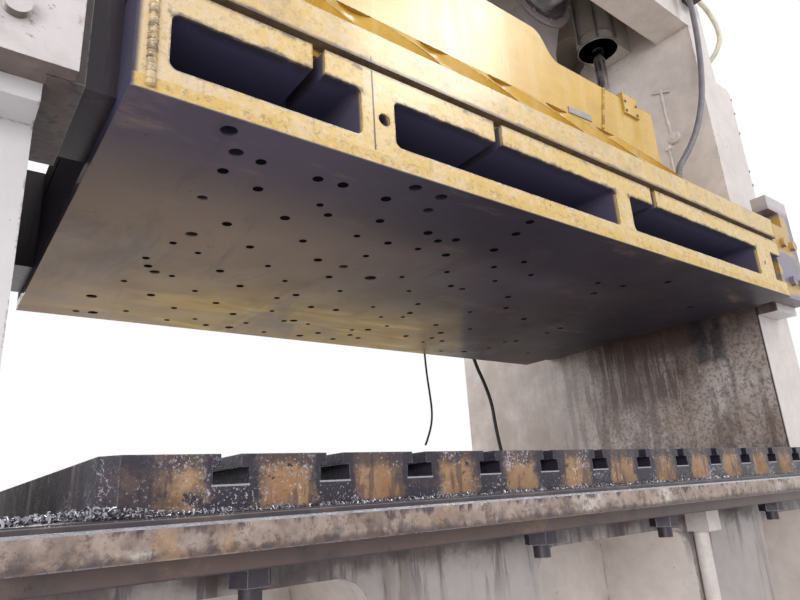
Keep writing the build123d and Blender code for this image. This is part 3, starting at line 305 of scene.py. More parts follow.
def new_group(name, output="Mask", **inputs):
    """Node group with float or vector inputs and one output: its net, its inputs, and a way to end it."""
    tree = bpy.data.node_groups.new(name, "ShaderNodeTree")
    for label, default in inputs.items():
        kind = "NodeSocketVector" if isinstance(default, tuple) else "NodeSocketFloat"
        tree.interface.new_socket(name=label, in_out="INPUT", socket_type=kind).default_value = default
    tree.interface.new_socket(name=output, in_out="OUTPUT", socket_type="NodeSocketFloat")
    net = Net(tree)
    source = tree.nodes.new("NodeGroupInput")
    target = tree.nodes.new("NodeGroupOutput")

    def end(value):
        net.feed(target.inputs[output], value)
        return tree

    return net, [Field(net, source.outputs[label]) for label in inputs], end


def make_zone():
    """Mask that is 1 inside a box and fades ragged outside it."""
    net, (centre, half, fade, ragged, scale), end = new_group(
        "Zone", Centre=(0.0, 0.0, 0.0), Half=(0.1, 0.1, 0.1), Fade=0.05, Ragged=0.04, Scale=14.0)
    place = net.place()
    size = net.vector("ABSOLUTE", net.vector("SUBTRACT", place, centre))
    x, y, z = net.split(net.vector("SUBTRACT", size, half))
    wobble = net.noise(scale, 5.0, 0.6, at=place) - 0.5
    far = x.most(y).most(z) + wobble * (ragged * 2.0)
    return end(far.step(fade, 0.0))


def make_runs():
    """Mask of streaks that run down a face."""
    net, (scale, length_down, cover, soft), end = new_group(
        "Runs", Scale=20.0, Length=12.0, Cover=0.5, Soft=0.1)
    x, y, z = net.split(net.place())
    down = net.add("ShaderNodeCombineXYZ", {0: x, 1: y, 2: z / length_down}).outputs[0]
    low = 1.0 - cover
    return end(net.noise(scale, 5.0, 0.62, 0.15, at=down).step(low, low + soft))


def make_patches():
    """Mask of ragged patches."""
    net, (scale, cover, soft, roughness), end = new_group(
        "Patches", Scale=5.0, Cover=0.5, Soft=0.1, Roughness=0.65)
    low = 1.0 - cover
    return end(net.noise(scale, 8.0, roughness, 0.2).step(low, low + soft))


def make_edge_wear():
    """Mask along the edges, broken up by grain."""
    net, (width, grain, cover), end = new_group("Edge wear", Width=0.006, Grain=60.0, Cover=0.5)
    bevel = net.add("ShaderNodeBevel", {"Radius": width}, samples=4).outputs[0]
    surface = net.add("ShaderNodeNewGeometry").outputs["Normal"]
    along = net.add("ShaderNodeVectorMath", {0: bevel, 1: surface}, operation="DOT_PRODUCT").outputs["Value"]
    low = 1.0 - cover
    return end(Field(net, along).step(0.995, 0.86) * net.noise(grain, 6.0, 0.7).step(low, low + 0.08))


def make_crevice():
    """Mask of dirt in corners and recesses."""
    net, (reach, low, high, grain), end = new_group(
        "Crevice dirt", Reach=0.08, Low=0.25, High=0.9, Grain=20.0)
    shut = net.add("ShaderNodeAmbientOcclusion", {"Distance": reach}, samples=4).outputs["AO"]
    dirt = ~Field(net, shut) * net.noise(grain, 5.0, 0.6).step(0.2, 0.75, 0.55, 1.25)
    return end(dirt.step(low, high))


def make_brushed_film():
    """Height of thick paint: long brush marks over a fine dimpled skin."""
    net, (scale, marks), end = new_group("Brushed film", "Height", Scale=60.0, Marks=0.6)
    brush = net.noise(scale, 4.0, 0.6, stretch=(0.12, 1.0, 1.0))
    skin = net.noise(scale * 3.0, 3.0, 0.5)
    lumps = net.noise(scale * 0.25, 3.0, 0.5)
    return end(brush * marks + skin * 0.3 + lumps * 0.7)


def make_chips():
    """Mask of small chips and specks."""
    net, (scale, cover, grouping), end = new_group("Chips", Scale=60.0, Cover=0.25, Grouping=4.0)
    limit = 0.86 - cover
    value = net.noise(scale, 6.0, 0.72) + (net.noise(grouping, 3.0, 0.5) - 0.5) * 0.35
    return end(value.step(limit, limit + 0.03))


def make_glitter():
    """Mask of sparse bright specks, as of swarf in oil."""
    net, (scale, cover), end = new_group("Glitter", Scale=160.0, Cover=0.2)
    limit = 0.74 - cover * 0.3
    value = net.noise(scale * 1.3, 3.0, 0.75) + (net.noise(scale * 0.12, 3.0, 0.6) - 0.5) * 0.55
    return end(value.step(limit, limit + 0.02))


def make_dust():
    """Mask of dust on the faces that look up."""
    net, (scale, cover), end = new_group("Dust", Scale=8.0, Cover=0.6)
    return end(net.upward().step(0.5, 0.95) * net.noise(scale, 7.0, 0.7).step(0.25, 0.7) * cover)


def make_groups():
    return {
        "zone": make_zone(),
        "runs": make_runs(),
        "patches": make_patches(),
        "edges": make_edge_wear(),
        "crevice": make_crevice(),
        "film": make_brushed_film(),
        "chips": make_chips(),
        "glitter": make_glitter(),
        "dust": make_dust(),
    }


class Finish:
    """One material, built up in layers from its base colour.

    Each node group is one of its methods, such as patches(scale, cover, soft, roughness).
    """

    groups = {}
    made = {}

    def __init__(self, name, colour, roughness=0.5, metallic=0.0, coat=0.0, level=0.5):
        material = bpy.data.materials.new(name)
        material.use_nodes = True
        self.made[name] = material
        tree = material.node_tree
        tree.nodes.clear()
        self.net = Net(tree)
        self.shader = self.net.add(
            "ShaderNodeBsdfPrincipled", {"Specular IOR Level": level, "Coat Roughness": 0.12})
        self.net.add("ShaderNodeOutputMaterial", {0: self.shader.outputs[0]})
        self.colour = tuple(colour)
        self.roughness = roughness
        self.metallic = metallic
        self.coat = coat
        self.heights = []
        for group in self.groups:
            setattr(self, group, functools.partial(self.mask, group))

    def mask(self, group, *values):
        """Place a node group with these inputs, in their order; the others keep their defaults."""
        node = self.net.tree.nodes.new("ShaderNodeGroup")
        node.node_tree = self.groups[group]
        for socket, value in zip(node.inputs, values):
            socket.default_value = value
        return Field(self.net, node.outputs[0])

    def lay(self, mask, colour, roughness=None, metallic=None):
        """Lay a colour over what is there, where the mask is."""
        self.colour = self.net.mix(mask, self.colour, tuple(colour))
        if roughness is not None:
            self.roughness = self.blend(mask, self.roughness, roughness)
        if metallic is not None:
            self.metallic = self.blend(mask, self.metallic, metallic)

    def bare(self, mask):
        """Take the clear coat away where the mask is."""
        self.coat = self.blend(mask, self.coat, 0.0)

    def blend(self, mask, old, new):
        return self.net.add("ShaderNodeMix", {0: mask, 2: old, 3: new}, data_type="FLOAT").outputs[0]

    def mottle(self, scale, low, high, stretch=(1.0, 1.0, 1.0)):
        """Make the colour vary between two shares of itself."""
        share = self.net.noise(scale, 6.0, 0.62, stretch=stretch).step(0.3, 0.7, low, high)
        grey = self.net.add("ShaderNodeCombineXYZ", {0: share, 1: share, 2: share}).outputs[0]
        self.colour = self.net.mix(1.0, self.colour, grey, "MULTIPLY")

    def rough_noise(self, scale, spread):
        """Vary the roughness by up to spread."""
        change = (self.net.noise(scale, 5.0, 0.6) - 0.5) * (2 * spread)
        self.roughness = self.net.math("ADD", self.roughness, change, clamp=True)

    def raise_by(self, height, depth):
        """Add a height, in metres at its full value."""
        self.heights.append(height * (depth / BUMP_DISTANCE))

    def done(self):
        values = {"Base Color": self.colour, "Roughness": self.roughness, "Metallic": self.metallic,
                  "Coat Weight": self.coat}
        if self.heights:
            total = self.heights[0]
            for height in self.heights[1:]:
                total = total + height
            inputs = {"Height": total, "Distance": BUMP_DISTANCE, "Strength": 1.0}
            bump = self.net.add("ShaderNodeBump", inputs)
            values["Normal"] = bump.outputs[0]
        for name, value in values.items():
            self.net.feed(self.shader.inputs[name], value)


# Materials


def frame_paint():
    """Cream paint of the frame, with oil runs, soaked dirt, painted shade under the bed's top plate and
    chipped edges.
    """
    c = colours()
    look = Finish("frame_paint", c.cream, 0.42, coat=0.15)
    net = look.net
    x, y, z = net.split(net.place())
    look.mottle(3.0, 0.86, 1.05)
    look.mottle(22.0, 0.92, 1.04)
    look.lay(x.step(-1.0, -1.25) * 0.85, c.cream_light)
    look.lay(x.step(1.155, 1.17) * y.step(-0.78, -0.8) * 0.6, c.cream_light)
    inner_wall = x.step(1.15, 1.16) * x.step(1.172, 1.166) * z.step(2.7, 2.3)
    low_wall = inner_wall * z.step(1.85, 1.62) * z.step(1.0, 1.002)
    rear_wall = low_wall * y.step(-0.1, 0.3)
    look.lay(rear_wall * look.patches(4.0, 0.78, 0.4) * 0.8, c.cream_dull, 0.4)
    look.lay(rear_wall * look.runs(9.0, 5.0, 0.45, 0.3) * 0.25, c.grease_brown, 0.4)
    soaked = low_wall * y.step(0.3, -0.2)
    look.lay(soaked * look.patches(4.0, 0.72, 0.3) * 0.8, c.cream_dull, 0.4)
    look.lay(soaked * look.patches(95.0, 0.53, 0.12, 0.7) * 0.62, c.grease_brown, 0.36)
    rusty = soaked * look.patches(5.5, 0.5, 0.25, 0.7) * y.step(-0.1, -0.5)
    look.lay(rusty * 0.4, c.rust_tan, 0.4)
    look.lay(soaked * look.patches(7.0, 0.5, 0.2, 0.7) * 0.52, c.grease_brown, 0.36)
    wash = low_wall * y.step(0.4, -0.1) * look.runs(16.0, 7.0, 0.56, 0.16)
    look.lay(wash * 0.6, c.grease_brown, 0.3)
    high_soak = low_wall * z.step(1.42, 1.6) * y.step(0.05, -0.2)
    look.lay(high_soak * look.patches(5.0, 0.7, 0.2) * 0.75, c.grease_brown, 0.3)
    look.lay(look.zone((WALL, -0.4, 1.6), (0.03, 0.16, 0.07), 0.06, 0.05) * 0.82, c.grease_brown, 0.3)
    band = look.zone((WALL, -0.585, 1.56), (0.03, 0.04, 0.12), 0.045, 0.05, 11.0)
    look.lay(band * look.runs(20.0, 6.0, 0.62, 0.12) * 0.78, c.oil_black, 0.3)
    drips = look.zone((WALL, -0.27, 1.46), (0.03, 0.16, 0.13), 0.06, 0.05)
    look.lay(drips * look.runs(46.0, 14.0, 0.56, 0.08) * 0.8, c.grease_brown, 0.25)
    foot = low_wall * z.step(1.16, 1.06)
    look.lay(foot * look.patches(18.0, 0.62, 0.2) * 0.6, c.oil_black, 0.3)
    corner = look.zone((WALL, -FLANGE, 1.45), (0.0035, 0.0035, 0.48), 0.002, 0.002, 30.0)
    look.lay(corner * 0.9, c.oil_black, 0.4)
    bed_front = z.step(0.99, 0.96) * y.step(-0.82, -0.86)
    look.lay(bed_front * look.runs(13.0, 9.0, 0.46, 0.14) * 0.8, c.cream_dull, 0.4)
    under = bed_front * z.step(0.78, 0.925)
    look.lay(under * look.runs(34.0, 9.0, 0.5, 0.1) * 0.75, c.oil_black, 0.3)
    # Painted shade mixed with grease: the bed plate's front face below the rail is painted brown where the
    # rail shades it, with black patches.
    plate_edge_shade_and_grease = y.step(-0.985, -0.992) * z.step(1.0, 0.998)
    look.lay(plate_edge_shade_and_grease * 0.97, c.grease_brown, 0.4)
    look.lay(plate_edge_shade_and_grease * look.patches(11.0, 0.66, 0.2) * 0.85, c.oil_black, 0.35)
    # Painted shade mixed with grease and rust: the band at the top of the bed front, under the ledge, is
    # painted brown with black and rust patches.
    ragged = (net.noise(11.0, 6.0, 0.65) - 0.5) * 0.16
    soaked_and_shaded_head = bed_front * (z + ragged).step(0.88, 0.925)
    look.lay(soaked_and_shaded_head * 0.85, c.grease_brown, 0.4)
    look.lay(soaked_and_shaded_head * look.patches(10.0, 0.5, 0.16) * 0.6, c.oil_black, 0.35)
    look.lay(soaked_and_shaded_head * look.patches(7.0, 0.42, 0.14, 0.7) * 0.4, c.rust_tan, 0.5)
    # Painted shade: the bed plate's underside is painted near-black.
    plate_bottom_shade = z.step(0.9385, 0.9365) * y.step(-0.865, -0.875)
    look.lay(plate_bottom_shade * 0.9, c.oil_black, 0.5)
    bed_top = z.step(0.9985, 1.0) * z.step(1.004, 1.002)
    ledge = bed_top * y.step(-0.9, -0.93)
    look.lay(ledge, c.oil_black, 0.55)
    look.lay(ledge * look.glitter(260.0, 0.42), c.bare_steel, 0.25, 0.8)
    look.lay(bed_top * y.step(0.2, 0.27) * 0.8, c.grease_brown, 0.25)
    hidden = z.step(2.84, 2.9) * y.step(-0.655, -0.63) * y.step(0.08, 0.05)
    look.lay(hidden * look.patches(3.0, 0.62, 0.4) * 0.32, c.grease_brown, 0.35)
    look.lay(look.crevice(0.12, 0.42, 1.0) * 0.55, c.grease_brown, 0.5)
    look.lay(look.dust(5.0, 0.75), c.dust, 0.8)
    look.lay(look.edges(0.006, 45.0, 0.5) * 0.75, c.dark_steel, 0.45)
    chips = look.chips(46.0, 0.17)
    look.lay(chips * 0.75, c.grease_brown, 0.5)
    look.rough_noise(9.0, 0.14)
    look.raise_by(look.film(45.0, 0.25), 0.0006)
    look.raise_by(~chips, 0.0004)
    look.done()


def slide_paint():
    """Thick glossy yellow paint with brush marks, dust on the flange and dark chipped edges, and painted
    shade inside the riser and on its left end.
    """
    c = colours()
    look = Finish("slide_paint", c.yellow, 0.3, coat=0.35)
    net = look.net
    x, y, z = net.split(net.place())
    look.mottle(4.0, 0.9, 1.05)
    look.mottle(30.0, 0.93, 1.05, (0.25, 1.0, 1.0))
    front = y.step(-0.91, -0.935) * z.step(1.88, 1.86)
    above = z.step(1.86, 1.9)
    look.lay(front * look.patches(7.0, 0.85, 0.3) * 0.85, c.yellow_pale, 0.34)
    look.lay(front * look.patches(26.0, 0.52, 0.1, 0.8) * 0.28, c.cream, 0.4)
    look.lay(front * x.step(-0.82, -0.98) * 0.3, c.cream, 0.34)
    look.lay(front * look.patches(75.0, 0.47, 0.06, 0.85) * 0.3, c.grease_brown, 0.45)
    look.lay(front * look.patches(11.0, 0.44, 0.16, 0.7) * 0.35, c.cream_dull, 0.4)
    look.lay(above * look.runs(17.0, 14.0, 0.54, 0.16) * 0.45, c.yellow_pale, 0.22)
    look.lay(above * look.runs(38.0, 18.0, 0.36, 0.05) * 0.6, c.rust_tan, 0.3)
    joint = look.zone((-0.652, -0.942, 1.7), (0.0012, 0.004, 0.1), 0.001, 0.0008, 50.0)
    look.lay(joint * 0.85, c.oil_black, 0.6)
    # Painted shade: the faces behind the riser's front and the window ceilings, which lie in shadow, are
    # painted blue-black, rough and without coat.
    inside = y.step(-0.9405, -0.930) * z.step(1.7705, 1.7695)
    look.lay(inside * 0.97, c.painted_shade_black, 0.95)
    look.bare(inside)
    window_tops = net.upward().step(-0.6, -0.95) * z.step(1.765, 1.7605) * y.step(-0.9395, -0.936)
    look.lay(window_tops * 0.97, c.painted_shade_black, 0.6)
    rims, sills = [], []
    for middle, half, rim, sill in ((-0.847, 0.17, 0.016, 0.013), (-0.251, 0.35, 0.018, 0.014),
                                    (0.52, 0.36, 0.018, 0.014)):
        rims.append(look.zone((middle, SLIDE_FRONT, 1.716), (half, 0.03, 0.002), 0.01, rim, 42.0))
        sills.append(look.zone((middle, SLIDE_FRONT, 1.626), (half - 0.01, 0.03, 0.002), 0.009, sill, 46.0))
    look.lay((rims[0] | rims[1] | rims[2]) * front * 0.85, c.oil_black, 0.45)
    all_sills = (sills[0] | sills[1] | sills[2]) * front
    look.lay(all_sills * 0.6, c.cream, 0.4)
    look.lay(all_sills * look.patches(90.0, 0.45, 0.05) * 0.7, c.oil_black, 0.4)
    seam = look.zone((0.0, SLIDE_FRONT, 1.787), (1.2, 0.03, 0.0015), 0.008, 0.01, 24.0)
    look.lay(seam * 0.7, c.oil_black, 0.45)
    grime = front * look.zone((0.0, SLIDE_FRONT, 1.777), (1.2, 0.04, 0.008), 0.012, 0.016, 9.0)
    look.lay(grime * look.patches(30.0) * 0.8, c.oil_black, 0.45)
    under_lip = front * look.zone((0.0, SLIDE_FRONT, 1.78), (1.2, 0.05, 0.008), 0.01, 0.008, 30.0)
    look.lay(under_lip * 0.5, c.grease_brown, 0.5)
    flange_front = z.step(1.79, 1.795) * y.step(-0.9405, -0.9415)
    look.lay(flange_front * look.patches(12.0, 0.62, 0.3) * 0.4, c.cream_dull, 0.4)
    look.lay(flange_front * look.patches(30.0, 0.48, 0.2) * 0.4, c.grease_brown, 0.4)
    # Painted shade: the slide's left end, which lies in shadow, is painted blue-black and darkened further,
    # rough and without coat.
    left_end = x.step(-1.055, -1.066) * z.step(1.9, 1.86)
    look.lay(left_end * 0.97, c.painted_shade_black, 0.95)
    look.lay(left_end * 0.5, c.oil_black, 0.95)
    look.bare(left_end)
    right_end = x.step(1.055, 1.066) * z.step(1.9, 1.86)
    look.lay(right_end * look.patches(5.0, 0.6) * 0.8, c.grease_brown, 0.4)
    look.lay(look.runs(24.0, 10.0, 0.36, 0.08) * z.step(2.2, 1.95) * 0.25, c.grease_brown, 0.3)
    look.lay(look.crevice(0.05, 0.5, 1.0) * 0.6, c.grease_brown, 0.5)
    look.lay(look.dust(9.0, 0.55), c.dust, 0.75)
    wear = look.edges(0.0065, 52.0, 0.56) * abs(z - RISER_BOTTOM).step(0.004, 0.009)
    look.lay(wear * 0.85, c.dark_steel, 0.5)
    chips = look.chips(70.0, 0.19, 6.0)
    look.lay(chips * z.step(1.95, 1.8) * 0.8, c.dark_steel, 0.5)
    look.rough_noise(14.0, 0.1)
    look.raise_by(look.film(42.0, 0.9), 0.0008)
    look.raise_by(~chips, 0.0004)
    look.done()


def face_plate_steel():
    """Oiled, stained steel under the slide: dark at the front and right, with a painted golden reflection at
    the back, and painted shade in its bores and on its left side.
    """
    c = colours()
    look = Finish("face_plate_steel", c.plate_purple, 0.42, level=0.22)
    net = look.net
    x, y, z = net.split(net.place())
    look.mottle(2.2, 0.8, 1.15)
    look.lay(x.step(0.15, -0.8) * y.step(-0.88, -0.42) * 0.95, c.plate_brown, 0.4)
    # Painted reflection: a metallic golden zone with bright streaks at the back of the plate, standing in for
    # the walls mirrored in the oil.
    slant = x - (y + 0.314) * 0.904
    gold_reflection = slant.step(0.16, 0.1) * y.step(-0.52, 0.02) * x.step(-1.05, -0.45, 0.25, 1.0)
    look.lay(gold_reflection * look.patches(2.4, 0.86, 0.4) * 0.95, c.plate_gold_reflection, 0.36, 0.45)
    bands = net.noise(4.0, 6.0, 0.6, 0.8, stretch=(0.5, 2.2, 1.0))
    look.lay(gold_reflection * y.step(-0.3, 0.1) * bands.step(0.47, 0.66) * 0.8, c.plate_reflection_streak, 0.34, 0.55)
    look.lay(x.step(0.2, 0.7) * 0.88, c.oil_black, 0.35, 0.0)
    look.lay(y.step(-0.6, -0.76) * x.step(-0.8, -0.3) * 0.6, c.oil_black, 0.35)
    rusty = look.zone((0.38, -0.35, 1.572), (0.12, 0.3, 0.05), 0.12, 0.12, 5.0)
    look.lay(rusty * 0.35, c.grease_brown, 0.5)
    smears = net.noise(6.0, 7.0, 0.65, 0.6, stretch=(1.0, 0.3, 1.0))
    look.lay(smears.step(0.52, 0.72) * 0.4, c.oil_black, 0.3)
    film = net.noise(9.0, 6.0, 0.7, 0.3, stretch=(0.35, 1.0, 1.0))
    look.lay(film.step(0.56, 0.75) * 0.3, c.plate_brown, 0.5)
    sides = z.step(1.5735, 1.5755)
    front_edge = sides * y.step(-0.935, -0.941)
    look.lay(front_edge * 0.95, c.yellow_pale, 0.38)
    look.lay(front_edge * look.patches(26.0, 0.52, 0.1, 0.8) * 0.35, c.cream, 0.4)
    look.lay(front_edge * look.patches(75.0, 0.48, 0.06, 0.85) * 0.4, c.grease_brown, 0.45)
    # Painted shade: blue-black on the plate's left side, which lies in shadow.
    look.lay(sides * x.step(-1.06, -1.066) * 0.9, c.painted_shade_black, 0.4)
    # Painted shade: near-black on the upright walls of the bores through the plate.
    upright = abs(net.upward()).step(0.5, 0.2)
    bore_shade = upright * sides * y.step(-0.938, -0.93) * y.step(0.245, 0.235) * abs(x).step(1.06, 1.05)
    look.lay(bore_shade * 0.95, c.oil_black, 0.5)
    look.lay(look.glitter(60.0, 0.02) * ~sides * 0.5, c.oil_black, 0.15)
    wear = look.edges(0.004, 70.0, 0.6) * z.step(1.593, 1.588)
    look.lay(wear * 0.6, c.dark_steel, 0.35, 0.4)
    look.rough_noise(7.0, 0.16)
    look.raise_by(net.noise(34.0, 6.0, 0.65), 0.0006)
    look.raise_by(net.noise(240.0, 3.0, 0.6), 0.00016)
    look.done()


def bolster_steel():
    """Steel plate, rusted on its edge between the slots, with black oil round and below each slot."""
    c = colours()
    look = Finish("bolster_steel", c.rust_tan, 0.5, level=0.4)
    net = look.net
    x, _, z = net.split(net.place())
    pitch = sizes().slot_pitch
    bays = x / pitch
    off = abs(bays - net.math("ROUND", bays)) * pitch
    off = off.most(abs(x).step(0.97, 0.99, 0.0, pitch / 2))
    wobble = (net.noise(30.0, 7.0, 0.72) - 0.5) * 0.085
    look.mottle(10.0, 0.72, 1.12)
    look.lay(look.patches(9.0, 0.54, 0.16) * 0.82, c.rust_orange, 0.6)
    look.lay(look.patches(20.0, 0.42, 0.14) * 0.55, c.cream_dull, 0.55)
    look.lay(look.patches(46.0, 0.44, 0.08, 0.8) * 0.75, c.grease_brown, 0.5)
    look.lay(look.patches(150.0, 0.45, 0.08, 0.8) * 0.5, c.grease_brown, 0.5)
    look.lay(look.glitter(120.0, 0.3) * 0.6, c.cream, 0.4)
    look.lay(look.runs(52.0, 5.0, 0.46, 0.07) * 0.8, c.grease_brown, 0.4)
    look.lay(look.runs(26.0, 9.0, 0.36, 0.03) * 0.75, c.oil_black, 0.3)
    ragged_top = z + wobble * 0.7
    look.lay(ragged_top.step(1.046, 1.062) * 0.78, c.oil_black, 0.4)
    look.lay(ragged_top.step(1.03, 1.055) * look.glitter(150.0, 0.5) * 0.8, c.bare_steel, 0.35, 0.3)
    slot_oil = (off + wobble).step(0.05, 0.028)
    look.lay(slot_oil, c.oil_black, 0.28)
    look.lay(slot_oil * look.patches(34.0, 0.5, 0.14) * 0.45, c.grease_brown, 0.35)
    look.lay(off.step(0.034, 0.026) * z.step(1.03, 1.034), c.oil_black, 0.3)
    look.lay(z.step(wobble * 0.5 + 1.008, 1.002), c.oil_black, 0.2)
    look.lay((x + wobble * 1.5).step(-0.97, -1.02) * 0.92, c.oil_black, 0.25)
    look.lay(x.step(-0.9, -1.0) * look.patches(30.0, 0.5, 0.12) * 0.7, c.grease_brown, 0.35)
    side = x.step(-1.064, -1.0665)
    look.lay(side * 0.92, c.oil_black, 0.5)
    look.lay(side * look.runs(22.0, 8.0, 0.46, 0.1) * 0.7, c.grease_brown, 0.3)
    swarf_zone = slot_oil * z.step(1.036, 1.024) | z.step(1.012, 1.003) | x.step(-0.78, -1.0) * 0.5
    look.lay(swarf_zone * look.glitter(170.0, 0.45), c.bare_steel, 0.25, 0.4)
    top = z.step(1.0712, 1.0718)
    look.lay(top * 0.85, c.dark_steel, 0.3, 0.55)
    look.lay(top * look.patches(6.0, 0.5, 0.3) * 0.5, c.grease_brown, 0.25)
    bottom_lip = off.step(0.026, 0.0245) * abs(z - 1.0337).step(0.0016, 0.0008)
    look.lay(bottom_lip * 0.85, c.bare_steel, 0.25, 0.7)
    look.lay(look.edges(0.003, 90.0, 0.52) * 0.35, c.bare_steel, 0.35, 0.6)
    look.rough_noise(24.0, 0.12)
    look.raise_by(net.noise(70.0, 7.0, 0.7), 0.0012)
    look.raise_by(net.noise(190.0, 4.0, 0.7), 0.0007)
    look.done()


def rail_steel():
    """Painted rail: a bright worn top edge, cream face with black drips and a brown lower edge."""
    c = colours()
    look = Finish("rail_steel", c.cream_dull, 0.48)
    net = look.net
    x, _, z = net.split(net.place())
    up = net.upward()
    look.lay(look.patches(9.0, 0.5, 0.16) * 0.75, c.cream, 0.45)
    look.mottle(24.0, 0.72, 1.05)
    look.lay(look.patches(14.0, 0.42, 0.12) * 0.6, c.rust_tan, 0.45)
    look.lay(look.patches(34.0, 0.5, 0.09, 0.8) * 0.75, c.grease_brown, 0.4)
    look.lay(look.patches(90.0, 0.38, 0.05, 0.8) * 0.65, c.oil_black, 0.35)
    wobble = (net.noise(60.0, stretch=(1.0, 1.0, 0.1)) - 0.5) * 0.05
    ragged = z + wobble
    look.lay(ragged.step(0.984, 0.992) * look.runs(34.0, 6.0, 0.5, 0.06) * 0.85, c.oil_black, 0.2)
    low = (z + wobble * 0.4).step(0.970, 0.962)
    look.lay(low * 0.9, c.grease_brown, 0.4)
    look.lay(low * look.patches(10.0, 0.5, 0.14, 0.75) * 0.6, c.oil_black, 0.35)
    look.lay(low * look.patches(8.0, 0.4, 0.14, 0.7) * 0.35, c.rust_tan, 0.5)
    look.lay(x.step(-0.2, -1.0) * look.patches(16.0, 0.5, 0.2) * 0.6, c.grease_brown, 0.4)
    look.lay(x.step(0.5, -0.9) * look.patches(22.0, 0.58, 0.2) * 0.45, c.grease_brown, 0.4)
    look.lay(ragged.step(0.985, 0.966) * look.patches(60.0, 0.52, 0.08) * 0.55, c.oil_black, 0.4)
    look.lay(x.step(-0.75, -0.95) * look.patches(14.0, 0.45) * 0.5, c.rust_tan, 0.5)
    look.lay(up.step(0.35, 0.6) * look.patches(28.0, 0.72, 0.2), c.bare_steel, 0.25, 0.75)
    look.lay(up.step(0.8, 0.95) * look.patches(12.0, 0.5, 0.2) * 0.85, c.oil_black, 0.5)
    look.lay(up.step(0.3, 0.7) * look.glitter(240.0, 0.3), c.bare_steel, 0.2, 0.8)
    look.lay(look.edges(0.003, 60.0, 0.55) * 0.5, c.bare_steel, 0.3, 0.6)
    look.rough_noise(20.0, 0.12)
    look.raise_by(net.noise(60.0, 7.0, 0.7), 0.0014)
    look.done()


def gib_paint():
    """Grey gloss paint of the gib blocks, brown with grease below, with yellow overspray on the right."""
    c = colours()
    look = Finish("gib_paint", c.grey_paint, 0.28, coat=0.3)
    net = look.net
    x, _, z = net.split(net.place())
    look.mottle(9.0, 0.84, 1.02)
    right = x.step(0.5, 0.6) * z.step(1.97, 1.92, 0.35, 1.0)
    look.lay(right * 0.92, c.slate_paint, 0.4)
    sprayed = look.zone((1.215, -0.909, 1.85), (0.07, 0.02, 0.07), 0.02, 0.022, 18.0)
    arm_side = look.zone((1.12, -0.885, 1.925), (0.02, 0.03, 0.02), 0.02, 0.02, 18.0)
    foot = look.zone((1.2, -0.909, 1.63), (0.12, 0.02, 0.012), 0.02, 0.02, 18.0)
    look.lay((sprayed | arm_side | foot) * 0.75, c.yellow, 0.4)
    look.lay(right * look.patches(8.0, 0.44, 0.06) * 0.75, c.yellow, 0.4)
    look.lay(net.upward().step(-0.5, -0.9) * 0.9, c.grease_brown, 0.45)
    look.lay(look.runs(30.0, 4.0, 0.4, 0.08) * 0.45, c.grease_brown, 0.4)
    look.lay(look.patches(12.0, 0.5, 0.25) * 0.5, c.cream_dull, 0.4)
    look.lay(look.patches(60.0, 0.4, 0.03, 0.8) * 0.55, c.grease_brown, 0.4)
    look.lay(look.crevice(0.04, 0.35, 0.9) * 0.75, c.grease_brown, 0.5)
    look.lay(look.dust(12.0, 0.4), c.dust, 0.8)
    look.lay(look.edges(0.004, 60.0, 0.55) * 0.6, c.grease_brown, 0.5)
    chips = look.chips(60.0, 0.18)
    look.lay(chips * 0.7, c.grease_brown, 0.5)
    look.raise_by(look.film(38.0, 0.3), 0.0011)
    look.raise_by(~chips, 0.0003)
    look.done()


def liner_iron():
    """Greasy cast iron of the gib liners."""
    c = colours()
    look = Finish("liner_iron", c.cast_iron, 0.4, 0.25)
    look.lay(look.patches(6.0, 0.72, 0.3) * 0.85, c.grease_brown, 0.35, 0.0)
    look.mottle(26.0, 0.75, 1.12)
    look.lay(look.patches(5.0, 0.6, 0.3) * 0.4, c.cream_dull, 0.4, 0.0)
    look.lay(look.runs(30.0, 9.0, 0.5, 0.12) * 0.6, c.oil_black, 0.2, 0.0)
    look.lay(look.crevice(0.05, 0.35, 0.9) * 0.8, c.oil_black, 0.3, 0.0)
    look.lay(look.edges(0.003, 70.0, 0.6) * 0.5, c.bare_steel, 0.3, 0.7)
    look.raise_by(look.net.noise(80.0, 6.0, 0.65), 0.0008)
    look.done()


def wear_bar_bronze():
    """Bronze under a thick coat of black oil and grease."""
    c = colours()
    look = Finish("wear_bar_bronze", c.bronze, 0.35, 0.7)
    look.mottle(9.0, 0.8, 1.1)
    look.lay(look.patches(4.0, 0.86, 0.2) * 0.97, c.oil_black, 0.3, 0.1)
    look.lay(look.runs(30.0, 9.0, 0.45, 0.1) * 0.35, c.grease_brown, 0.25, 0.0)
    look.lay(look.edges(0.002, 90.0, 0.4) * 0.5, c.bronze, 0.3, 0.8)
    look.raise_by(look.net.noise(160.0, 5.0, 0.6, stretch=(1.0, 1.0, 0.1)), 0.0003)
    look.done()


def hole_shade_black():
    """Near-black painted shade that stands for the dark inside of a tapped hole."""
    look = Finish("hole_shade_black", tone(14, 12, 16), 0.85, level=0.05)
    look.mottle(60.0, 0.7, 1.1)
    look.done()


